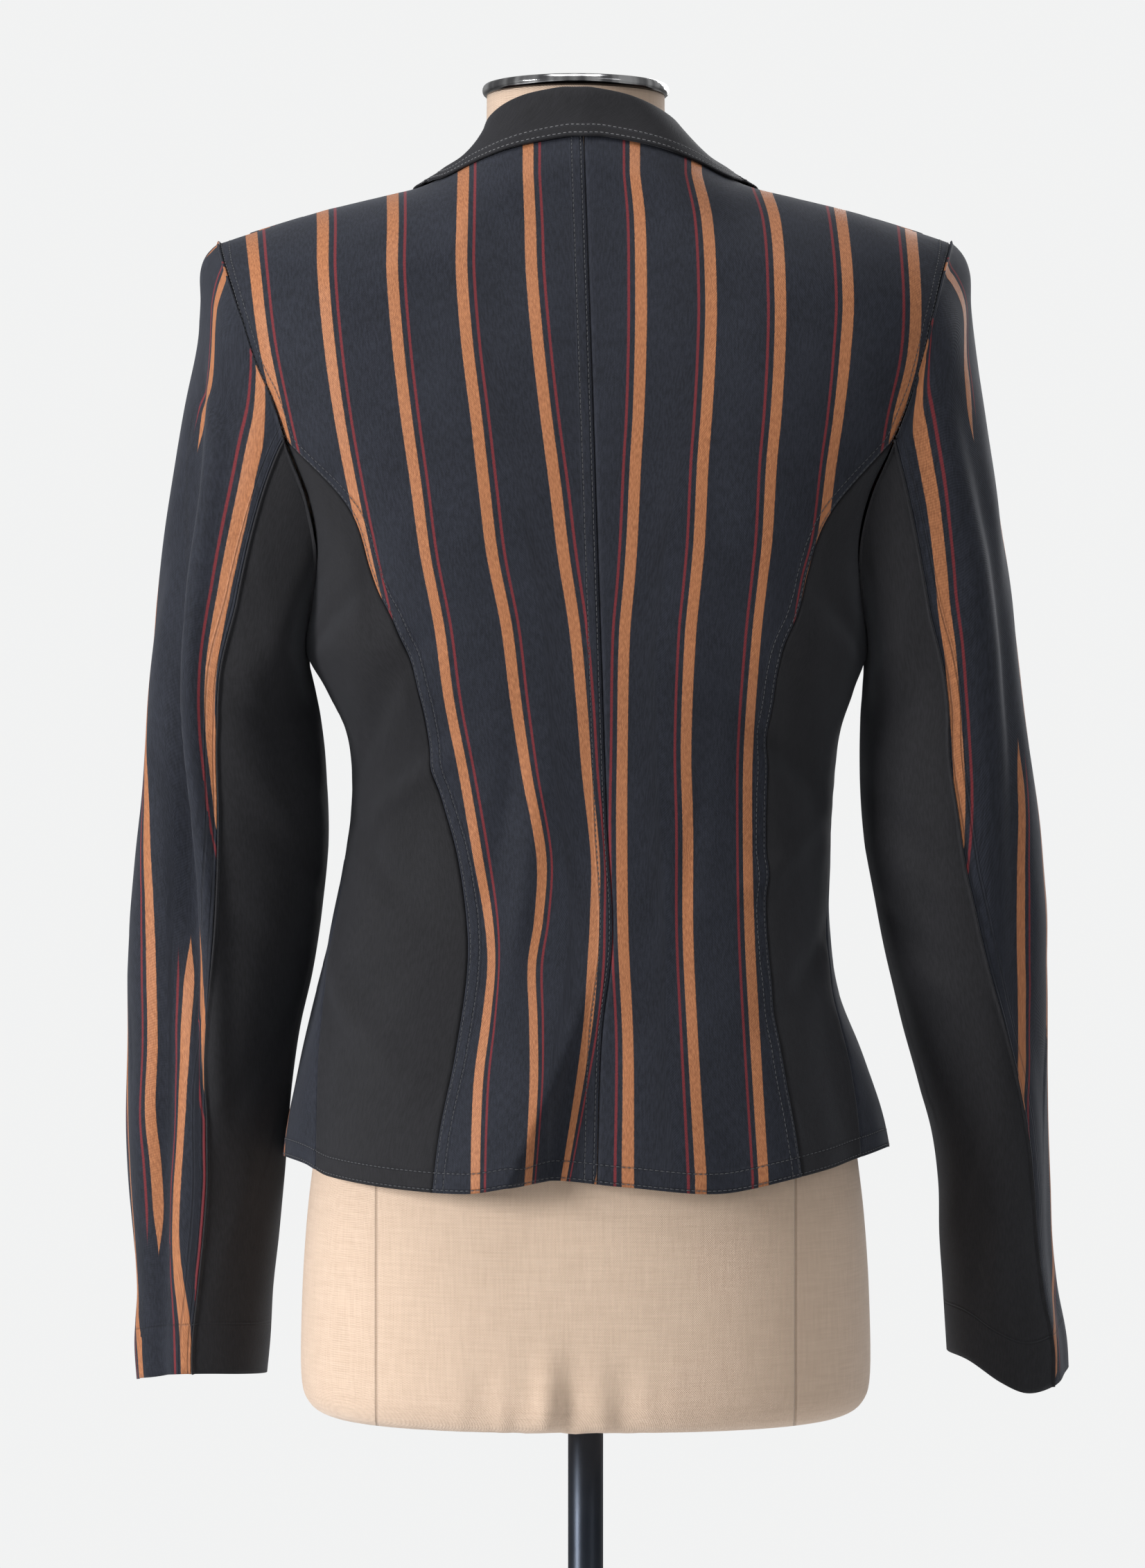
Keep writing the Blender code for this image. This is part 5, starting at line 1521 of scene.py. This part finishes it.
SLEEVE_DRAGS = {
    LEFT: [
        Drag(128, 1128, 60, 9, -38, -2.2),
        Drag(118, 1098, 55, 9, -46, 1.8),
        Drag(135, 1065, 50, 8, -30, -1.8),
        Drag(122, 1030, 55, 8, -22, 1.6),
        Drag(112, 1185, 70, 12, 75, 2.0),
        Drag(128, 950, 60, 9, 58, -1.2),
        Drag(118, 860, 70, 10, 70, 1.4),
        Drag(20, 1220, 70, 10, 70, -1.6),
        Drag(-100, 1050, 50, 9, 30, -2.2),
        Drag(-88, 1005, 50, 9, 18, 1.8),
        Drag(-120, 960, 55, 9, 30, -1.6),
    ],
    RIGHT: [
        Drag(128, 1080, 60, 9, 40, -2.0),
        Drag(112, 1050, 55, 9, 28, 1.8),
        Drag(132, 1020, 50, 8, 34, -2.0),
        Drag(110, 990, 55, 8, 22, 1.4),
        Drag(112, 1190, 70, 12, 100, 1.8),
        Drag(118, 900, 60, 9, -62, -1.4),
        Drag(98, 840, 70, 10, -70, 1.4),
        Drag(15, 1230, 70, 10, -70, -1.4),
        Drag(-100, 1055, 50, 9, -30, -2.2),
        Drag(-84, 1010, 50, 9, -20, 1.8),
        Drag(-118, 965, 55, 9, -30, -1.6),
    ],
}
# Where each copper stripe shows on a top sleeve, by photo row and column, from the seam behind
# the arm outwards. Between the two runs of one stripe it is out of sight.
Shown = namedtuple("Shown", "photo_row column")
SLEEVE_STRIPES = {
    LEFT: [
        [[
            Shown(500, 386), Shown(545, 378), Shown(584, 376), Shown(620, 373), Shown(655, 365),
            Shown(731, 349.5), Shown(803, 334), Shown(874, 320), Shown(946, 308), Shown(1003, 303.5),
            Shown(1060, 304.5), Shown(1089, 308), Shown(1146, 314), Shown(1196, 320), Shown(1250, 335),
        ]],
        [
            [
                Shown(385, 334), Shown(396, 328), Shown(407, 324), Shown(442, 313.5), Shown(478, 310.5),
                Shown(513, 309), Shown(549, 306), Shown(584, 299.5), Shown(620, 293), Shown(669, 283),
            ],
            [
                Shown(1310, 291), Shown(1365, 292), Shown(1448, 295), Shown(1490, 297), Shown(1532, 300),
                Shown(1586, 307), Shown(1613, 311), Shown(1680, 326),
            ],
        ],
        [
            [Shown(350, 322), Shown(371, 302), Shown(392, 290)],
            [
                Shown(1330, 276), Shown(1365, 275.5), Shown(1407, 274), Shown(1448, 272), Shown(1490, 268.5),
                Shown(1532, 267), Shown(1573, 264), Shown(1615, 262), Shown(1657, 259.5), Shown(1698, 257),
                Shown(1740, 255.5), Shown(1782, 254.5), Shown(1823, 257), Shown(1865, 261),
                Shown(1898, 266.5), Shown(1927, 269), Shown(1973, 270), Shown(2000, 270),
            ],
        ],
        [[
            Shown(1060, 214), Shown(1160, 215.5), Shown(1240, 216), Shown(1323, 217.5), Shown(1407, 218.5),
            Shown(1490, 220), Shown(1532, 219.5), Shown(1573, 217.5), Shown(1607, 216), Shown(1636, 219.5),
            Shown(1657, 222.5), Shown(1698, 226.5), Shown(1740, 229.5), Shown(1782, 230.5),
            Shown(1830, 229.5),
        ]],
        [[Shown(1865, 197), Shown(1907, 200), Shown(1948, 204), Shown(2000, 207)]],
    ],
    RIGHT: [
        [[
            Shown(490, 1334), Shown(530, 1329), Shown(573, 1325), Shown(607, 1323), Shown(627, 1328),
            Shown(660, 1334), Shown(693, 1340), Shown(727, 1346), Shown(760, 1350), Shown(827, 1357),
            Shown(893, 1363), Shown(922, 1368), Shown(1005, 1375), Shown(1088, 1382), Shown(1150, 1384),
            Shown(1217, 1382), Shown(1290, 1372),
        ]],
        [
            [
                Shown(375, 1357), Shown(390, 1362), Shown(403, 1370), Shown(417, 1378), Shown(433, 1384),
                Shown(453, 1389), Shown(493, 1389), Shown(517, 1388), Shown(540, 1391), Shown(560, 1393),
                Shown(587, 1396), Shown(613, 1399), Shown(640, 1403), Shown(660, 1408),
            ],
            [
                Shown(1042, 1466), Shown(1088, 1467), Shown(1171, 1470), Shown(1255, 1469), Shown(1338, 1470),
                Shown(1421, 1472.5), Shown(1504, 1473.5), Shown(1546, 1472), Shown(1616, 1465),
                Shown(1690, 1458),
            ],
        ],
        [[Shown(1795, 1516), Shown(1878, 1516.5), Shown(1920, 1518), Shown(1990, 1520)]],
    ],
}
STRIPE_CORE, STRIPE_DRIFT, DRIFT_MOST, PHOTO_PIXEL = 11 * MM, 0.3 * MM, 16 * MM, 0.386 * MM
TUCK_ROWS, JOINED_ROWS, SMOOTH_ROWS, STRIPE_BEND, STRIPE_APART = 11, 4, 3, 0.7 * MM, 3 * MM


def sleeve_ring(side, degrees, height):
    """A sleeve's surface on a level ring: 0 is the outside, 90 the back, 180 the inside."""
    outer = read(SLEEVE[side], "outer", height) * MM
    inner = read(SLEEVE[side], "inner", height) * MM
    centre = read(SLEEVE[side], "centre", height) * MM
    depth = read(SLEEVE[side], "depth", height) * MM
    angle = math.radians(degrees)
    middle, reach = 0.5 * (outer + inner), 0.5 * (outer - inner)
    squeeze = 0.0
    for crease in CREASES[side]:
        if not crease.path[0].height < height / MM < crease.path[-1].height:
            continue
        deep = read(crease.path, "depth", height) * MM
        offset = wrap(degrees - read(crease.path, "degrees", height))
        spread = crease.seam_spread if offset > 0 else crease.far_spread
        squeeze += deep * bell(offset, spread)
        squeeze -= deep * crease.ridge * bell(offset - 2.2 * crease.seam_spread, 1.3 * crease.seam_spread)
    for drag in SLEEVE_DRAGS[side]:
        over = wrap(degrees - drag.degrees) * SLEEVE_DEGREE
        squeeze -= drag_depth(drag, over, height / MM - drag.height, SLEEVE_STRETCH)
    reach_out = Vector((reach * math.cos(angle), -depth * math.sin(angle), 0.0))
    reach_out *= 1 - squeeze / reach_out.length
    return Vector((side * (middle + reach_out.x), centre + reach_out.y, height))


def lapped(side, degrees):
    """Where the sleeve starts: tucked under the body's edge above, and lapped over it below."""
    turn, height = armhole(side, degrees)
    point = body_point(turn, height)
    across = body_point(turn + 1, height) - body_point(turn - 1, height)
    outward = Vector((across.y, -across.x, 0.0)).normalized()
    lap = ease((LAP_FROM - math.cos(math.radians(degrees))) / LAP_OVER)
    return point + outward * (WALL + LAP_CLEAR) * lap - Vector((side * SLEEVE_TUCK * (1 - lap), 0.0, 0.0))


def sleeve_point(side, degrees, row):
    """Rows 0 to CAP_ROWS come down from the armhole to a level ring, the rest to the cuff."""
    if row >= CAP_ROWS:
        down = (row - CAP_ROWS) / ARM_ROWS
        foot = read(CUFF[side], "height", wrap(degrees) * MM, "degrees") * MM
        return sleeve_ring(side, degrees, mix(CAP_FOOT, foot, down))
    edge = lapped(side, degrees)
    height = mix(edge.z, CAP_FOOT, (row / CAP_ROWS) ** CAP_CURVE)
    angle = math.radians(degrees)
    fade = CAP_FADE + CAP_FADE_BEHIND * math.sin(angle) ** 2
    fade += CAP_FADE_INSIDE * (1 - math.cos(angle))
    shift = edge - sleeve_ring(side, degrees, edge.z)
    shift.z = 0.0
    shift *= math.exp(-(edge.z - height) / fade) * (1 - ease((row - CAP_ROWS + 2) / 2))
    return sleeve_ring(side, degrees, height) + shift


def back_sleeve_seam(side, row):
    """The angle of the seam behind the arm, in each row."""
    if row < CAP_ROWS:
        return mix(90.0, read(SLEEVE[side], "seam", CAP_FOOT), row / CAP_ROWS)
    down = (row - CAP_ROWS) / ARM_ROWS
    return read(SLEEVE[side], "seam", mix(CAP_FOOT, CUFF_SEAM_FOOT, down))


def sleeve_spots(side, upper, rows, columns):
    """A sleeve panel's grid of angles and rows, from the seam behind to the one inside."""
    first = FRONT_SLEEVE_SEAM - 360 if upper else FRONT_SLEEVE_SEAM
    spots = []
    for share in shares(rows, True, False):
        row = share * (CAP_ROWS + ARM_ROWS)
        seam = back_sleeve_seam(side, row)
        spots.append([(mix(seam, first, over), row) for over in shares(columns)])
    return spots


def level_lengths(points):
    """How far each point lies from its line's first one, measured level."""
    found = []
    for line in points:
        lengths = [0.0]
        for before, after in zip(line, line[1:]):
            lengths.append(lengths[-1] + math.hypot(after.x - before.x, after.y - before.y))
        found.append(lengths)
    return found


def crossing(side, line, lengths, run):
    """How far along a grid line a stripe's photo path first crosses it, if it does."""
    before = None
    for point, length in zip(line, lengths):
        column, row = to_photo(point)
        if not run[0].photo_row <= row <= run[-1].photo_row:
            before = None
            continue
        ahead = side * (read(run, "column", row / 1000.0, "photo_row") - column)
        if ahead <= 0 and before is not None:
            return mix(before[1], length, before[0] / (before[0] - ahead))
        if ahead <= 0 and length == 0.0:
            return ahead * PHOTO_PIXEL
        if ahead <= 0:
            return None
        before = (ahead, length)
    return None


def stripe_spots(side, points, lengths, runs):
    """Where one stripe crosses each grid line, whether it shows, and whether it is out of sight."""
    found = []
    for line, away in zip(points, lengths):
        spots = [crossing(side, line, away, run) for run in runs]
        found.append(next((spot for spot in spots if spot is not None), None))
    known = [row for row, spot in enumerate(found) if spot is not None]
    filled = []
    for row, spot in enumerate(found):
        above = max((at for at in known if at <= row), default=None)
        below = min((at for at in known if at >= row), default=None)
        if above is None:
            drift = min((below - row) * STRIPE_DRIFT, DRIFT_MOST)
            filled.append((found[below] + drift, 1.0, True))
        elif below is None:
            filled.append((found[above], 0.0 if found[above] > 0 else 1.0, False))
        elif above == below:
            filled.append((spot, 1.0, False))
        else:
            part = (row - above) / (below - above)
            shown = 1.0 if below - above < JOINED_ROWS else 0.0
            filled.append((mix(found[above], found[below], part), shown, False))
    smooth = []
    for row in range(len(filled)):
        near = filled[max(row - SMOOTH_ROWS, 0):row + SMOOTH_ROWS + 1]
        tuck = [shown for _, shown, _ in filled[max(row - TUCK_ROWS, 0):row + TUCK_ROWS + 1]]
        shown = filled[row][1] * ease(2 * sum(tuck) / len(tuck) - 1)
        smooth.append((sum(spot for spot, _, _ in near) / len(near), shown, filled[row][2]))
    return smooth


def stripe_place(here, spots):
    """The stripe map's place along a grid line, true to width beside each stripe."""
    if here <= spots[0][0]:
        return here - spots[0][0], spots[0][1]
    for count, (near, far) in enumerate(zip(spots, spots[1:])):
        if here >= far[0]:
            continue
        room, along = far[0] - near[0], here - near[0]
        core = min(STRIPE_CORE, 0.45 * room)
        if along <= core:
            place = along
        elif along >= room - core:
            place = REPEAT - (room - along)
        else:
            place = mix(core, REPEAT - core, (along - core) / (room - 2 * core))
        return count * REPEAT + place, near[1] if along < 0.5 * room else far[1]
    return (len(spots) - 1) * REPEAT + here - spots[-1][0], spots[-1][1]


def sleeve_stripes(side, points):
    """The stripe map of a top sleeve: each point's place across it, and whether stripes show."""
    lengths = level_lengths(points)
    stripes = [stripe_spots(side, points, lengths, runs) for runs in SLEEVE_STRIPES[side]]
    tracks = [[(spot, shown) for spot, shown, _ in stripes[0]]]
    for stripe in stripes[1:]:
        track = []
        for row in range(len(stripe) - 1, -1, -1):
            spot, shown, free = stripe[row]
            before = tracks[-1][row][0]
            if free and track:
                last = track[-1][0]
                spot = min(max(max(spot, before + REPEAT), last - STRIPE_BEND), last + STRIPE_BEND)
            track.append((max(spot, before + STRIPE_APART), shown))
        tracks.append(track[::-1])
    across, showing = [], []
    for row, line in enumerate(lengths):
        spots = [track[row] for track in tracks]
        places = [stripe_place(here, spots) for here in line]
        across.append([place for place, _ in places])
        showing.append([shown for _, shown in places])
    return across, showing


for side, word in ((LEFT, "left"), (RIGHT, "right")):
    for upper, kind in ((True, "top"), (False, "under")):
        flip = (side == LEFT) != upper
        spots = sleeve_spots(side, upper, SLEEVE_ROWS, TOP_COLUMNS if upper else UNDER_COLUMNS)
        points = [[sleeve_point(side, degrees, row) for degrees, row in line] for line in spots]
        across, showing = distances(points, "first"), None
        if upper:
            across, showing = sleeve_stripes(side, points)
        seamed = {"first": RAISED if upper else SUNK, "last": JOINED, "top": TUCK_DEPTH}
        points = relieved(points, flip, seamed)
        turnup = [
            [max(away - CUFF_TURNUP + HEM_LINES[1], CUFF_PLAIN) for away in line]
            for line in distances(points, "foot")
        ]
        seam = distances(points, "first") if upper else None
        name = f"{kind}_sleeve_cloth_{word}"
        mesh = dressed_mesh(name, points, flip, across, seam, turnup, showing)
        slot = "striped_twill" if upper else "plain_twill"
        cloth = striped_twill if upper else plain_twill
        panel = cloth_panel(name, mesh, cloth, slot, f"{kind}_sleeve_{word}")
        lines = [inset_line(points, "foot", CUFF_TURNUP, 1)]
        lines += [inset_line(points, "first", row, 2) for row in SEAM_ROWS] if upper else []
        sewing = stitched(f"{kind}_sleeve_stitches_{word}", lines)

# Collar. One band of plain black twill that stands up from the neck seam, rolls over and
# falls on the back and shoulders, with two rows of stitching along its outer edge.
Collar = namedtuple(
    "Collar", "degrees seam_across seam_height fold_across fold_along fold_height edge_across edge_height"
)
COLLAR = [
    Collar(0, 0, 1462.6, 0, -60, 1484.4, 0, 1455.5),
    Collar(8, 9, 1462.6, 8.4, -59.6, 1484.3, 10, 1455.3),
    Collar(30, 32, 1462.2, 30, -53, 1480, 39, 1450),
    Collar(55, 53, 1459.5, 48, -36, 1471.5, 63, 1442.5),
    Collar(73, 64.5, 1453, 57, -16, 1460.5, 80, 1436.5),
    Collar(90, 68.9, 1450.1, 62, 4, 1455, 92, 1437.5),
    Collar(110, 68.2, 1440, 66, 31, 1449, 101, 1428),
    Collar(130, 66.8, 1424, 67.5, 51.5, 1431, 106, 1412),
    Collar(150, 66, 1405, 67, 64.5, 1409, 106, 1391),
]
COLLAR_STEPS, COLLAR_CLEAR, SEAM_CLEAR = 150, 2.4 * MM, 0.9 * MM
ROLL_RADIUS, ROLL_FULL_RISE = 3.2 * MM, 12 * MM
STAND_SHARE, FALL_SHARE, STAND_BOW, FALL_BOW = 0.55, 0.62, 0.3 * MM, 1.0 * MM
NECK_SHIFT_FROM, NECK_SHIFT_OVER = 1455 * MM, 30 * MM
COLLAR_ROWS = (2.0 * MM, 7.0 * MM)


def on_body(across, height, face, clear):
    """A point this far across at a height, standing clear of the body's outer face."""
    across, height = across * MM, height * MM
    height = min(height, ridge_height(across) - 0.01 * MM) if clear > 0 else height
    point = body_point(turn_at(across, height, face), height)
    steep = crown(across, height)
    return point + Vector((0.0, face * clear * steep, clear * math.sqrt(1 - steep**2)))


def collar_profile(degrees):
    """Points over the collar from its neck seam, over the roll, to its outer edge."""
    at = {name: read(COLLAR, name, degrees * MM, "degrees") for name in COLLAR[0]._fields[1:]}
    face = BACK if degrees <= 90 else FRONT
    fold = Vector((at["fold_across"], at["fold_along"], at["fold_height"])) * MM
    seam = on_body(at["seam_across"], at["seam_height"], face, -SEAM_CLEAR)
    edge = on_body(at["edge_across"], at["edge_height"], face, COLLAR_CLEAR)
    outward = Vector((edge.x - seam.x, edge.y - seam.y, 0.0)).normalized()
    tight = ROLL_RADIUS * min(1.0, max(0.3, (fold.z - seam.z) / ROLL_FULL_RISE))
    lift = Vector((0.0, 0.0, 1.0))
    return [
        seam,
        seam.lerp(fold, STAND_SHARE) - outward * STAND_BOW,
        fold - lift * tight,
        fold + outward * tight,
        fold + outward * 2.2 * tight - lift * tight,
        fold.lerp(edge, FALL_SHARE) + (outward + lift) * FALL_BOW,
        edge,
    ]


profiles = []
for step in range(COLLAR_STEPS + 1):
    degrees = mix(-COLLAR[-1].degrees, COLLAR[-1].degrees, step / COLLAR_STEPS)
    profile = collar_profile(abs(degrees))
    for point in profile:
        point.x *= RIGHT if degrees >= 0 else LEFT
        point.x += NECK_SHIFT * ease((point.z - NECK_SHIFT_FROM) / NECK_SHIFT_OVER)
    profiles.append(profile)
points = smooth_between([list(line) for line in zip(*profiles)], 5)
across, seam = distances(points, "first"), distances(points, "foot")
mesh = dressed_mesh("collar_band", points, False, across, seam)
collar_band = cloth_panel("collar_band", mesh, plain_twill, "plain_twill", "collar")
lines = [inset_line(points, "foot", row, 2) for row in COLLAR_ROWS]
# The collar's stitches take the paler copy of the thread, a painted highlight.
sewing = stitched("collar_stitches", lines, yarn=painted_highlight_thread)

# Lapels. The upper front edges turned back along the roll line, each lying on its front,
# with a notch below the collar's end and stitching along the outer edge.
LapelRow = namedtuple("LapelRow", "height width")
LAPEL = [
    LapelRow(1237, 4),
    LapelRow(1248, 18),
    LapelRow(1270, 33),
    LapelRow(1310, 48),
    LapelRow(1350, 57),
    LapelRow(1374, 59),
    LapelRow(1390, 42),
    LapelRow(1402, 4),
]
LAPEL_ROWS, LAPEL_COLUMNS, LAYER_GAP, LAPEL_ROLL = 90, 26, 0.6 * MM, 3.5 * MM
LAPEL_NOTCH_DROP, NOTCH_FROM, NOTCH_OVER = 9 * MM, 1380 * MM, 22 * MM
for side, word in ((LEFT, "left"), (RIGHT, "right")):
    points = []
    for step in range(LAPEL_ROWS + 1):
        height = mix(LAPEL[-1].height, LAPEL[0].height, step / LAPEL_ROWS) * MM
        start, wide = front_edge(side, height), read(LAPEL, "width", height) * MM
        line = []
        for column in range(LAPEL_COLUMNS + 1):
            over = column / LAPEL_COLUMNS
            level = height - LAPEL_NOTCH_DROP * over * ease((height - NOTCH_FROM) / NOTCH_OVER)
            across = start + side * wide * over
            spot = body_point(wrap(front_turn(side, across, level)), level)
            spot.y += looseness(spot)
            spot.y += overlap_lift(spot) if side == RIGHT else 0.0
            spot.y += WALL + LAYER_GAP + LAPEL_ROLL * (1 - over) ** 2
            line.append(spot)
        points.append(line)
    flip = side == RIGHT
    across = [[FIRST_STRIPE - away for away in line] for line in distances(points, "first")]
    mesh = dressed_mesh(f"lapel_cloth_{word}", points, flip, across, distances(points, "last"))
    panel = cloth_panel(f"lapel_cloth_{word}", mesh, striped_twill, "striped_twill", f"lapel_{word}")
    sewing = stitched(f"lapel_stitches_{word}", [inset_line(points, "last", row, 6) for row in SEAM_ROWS])

# Buttons. Two round buttons of dark moulded plastic, each turned with a raised rim and a
# sunk middle, with four holes and the thread that holds it to the upper front.
BUTTON_HEIGHTS = (1165 * MM, 1075 * MM)
BUTTON_RADIUS, BUTTON_THICK, BUTTON_CLEAR = 10 * MM, 3 * MM, 0.6 * MM
HOLE_AWAY, HOLE_RADIUS, HOLE_STEPS = 2.1 * MM, 0.95 * MM, 16
THREAD_HALF, THREAD_OVER, THREAD_LIFT = 0.5 * MM, 0.35 * MM, 0.7 * BUTTON_THICK
RimSpot = namedtuple("RimSpot", "radius height")
BUTTON_RIM = [
    RimSpot(0.0, 0.62),
    RimSpot(0.5, 0.64),
    RimSpot(0.6, 0.7),
    RimSpot(0.68, 0.88),
    RimSpot(0.76, 0.98),
    RimSpot(0.85, 1.0),
    RimSpot(0.93, 0.92),
    RimSpot(0.985, 0.74),
    RimSpot(1.0, 0.52),
    RimSpot(0.99, 0.3),
    RimSpot(0.94, 0.08),
    RimSpot(0.88, 0.0),
    RimSpot(0.0, 0.0),
]
coating = {"Coat Weight": 0.3, "Coat Roughness": 0.15}
button_plastic, tree, shader = new_material("dark_button_plastic", 0.3, **coating)
place = object_place(tree)
tone = blended(tree, speckle(tree, place, 220.0), (0.010, 0.009, 0.010, 1), (0.040, 0.034, 0.032, 1))
tree.links.new(tone, shader.inputs["Base Color"])
worn = spread_over(tree, speckle(tree, place, 500.0), 0.24, 0.42)
tree.links.new(worn, shader.inputs["Roughness"])


def drilled_button(name):
    """A turned button with its four holes cut through."""
    profile = [(spot.radius * BUTTON_RADIUS, spot.height * BUTTON_THICK) for spot in BUTTON_RIM]
    draft = bpy.data.objects.new(name + "_blank", turned(name, profile, 56))
    bpy.context.collection.objects.link(draft)
    cutters = bmesh.new()
    for quarter in range(4):
        angle = math.radians(45 + 90 * quarter)
        made = bmesh.ops.create_cone(
            cutters, cap_ends=True, segments=HOLE_STEPS, depth=4 * BUTTON_THICK,
            radius1=HOLE_RADIUS, radius2=HOLE_RADIUS,
        )
        aside = Vector((HOLE_AWAY * math.cos(angle), HOLE_AWAY * math.sin(angle), 0.0))
        bmesh.ops.translate(cutters, verts=made["verts"], vec=aside)
    drill_mesh = bpy.data.meshes.new(name + "_drill")
    cutters.to_mesh(drill_mesh)
    cutters.free()
    drill = bpy.data.objects.new(name + "_drill", drill_mesh)
    bpy.context.collection.objects.link(drill)
    cut = draft.modifiers.new("holes", "BOOLEAN")
    cut.operation = "DIFFERENCE"
    cut.solver = "EXACT"
    cut.object = drill
    shown = draft.evaluated_get(bpy.context.evaluated_depsgraph_get())
    mesh = bpy.data.meshes.new_from_object(shown)
    bpy.data.objects.remove(draft)
    bpy.data.objects.remove(drill)
    mesh.materials.clear()
    return mesh


for number, height in enumerate(BUTTON_HEIGHTS, 1):
    half = 0.5 * BUTTON_RADIUS
    above, below = (body_point(180, height + step) for step in (half, -half))
    up = (above - below).normalized()
    out = Vector((0.0, up.z, -up.y))
    middle = above.lerp(below, 0.5) + out * BUTTON_CLEAR
    middle.y += OVERLAP_LIFT + looseness(middle)
    lay = out.to_track_quat("Z", "Y").to_matrix().to_4x4()
    lay.translation = middle
    mesh = drilled_button(f"sewn_button_{number}")
    mesh.transform(lay)
    finished(f"sewn_button_{number}", mesh, button_plastic, "button_plastic", f"button_{number}")
    shape = bmesh.new()
    for lift, turn in ((0.0, 45), (THREAD_OVER, 135)):
        run = bmesh.ops.create_uvsphere(shape, u_segments=12, v_segments=8, radius=1.0)
        angle = math.radians(turn)
        bmesh.ops.scale(shape, verts=run["verts"], vec=(HOLE_AWAY * 1.2, THREAD_HALF, THREAD_HALF))
        spin = Vector((math.cos(angle), math.sin(angle), 0.0)).to_track_quat("X", "Z").to_matrix()
        bmesh.ops.transform(shape, verts=run["verts"], matrix=spin.to_4x4())
        bmesh.ops.translate(shape, verts=run["verts"], vec=(0.0, 0.0, THREAD_LIFT + lift))
    cross = bpy.data.meshes.new(f"button_thread_{number}")
    shape.to_mesh(cross)
    shape.free()
    cross.transform(lay)
    finished(f"button_thread_{number}", cross, thread, "plain_twill")
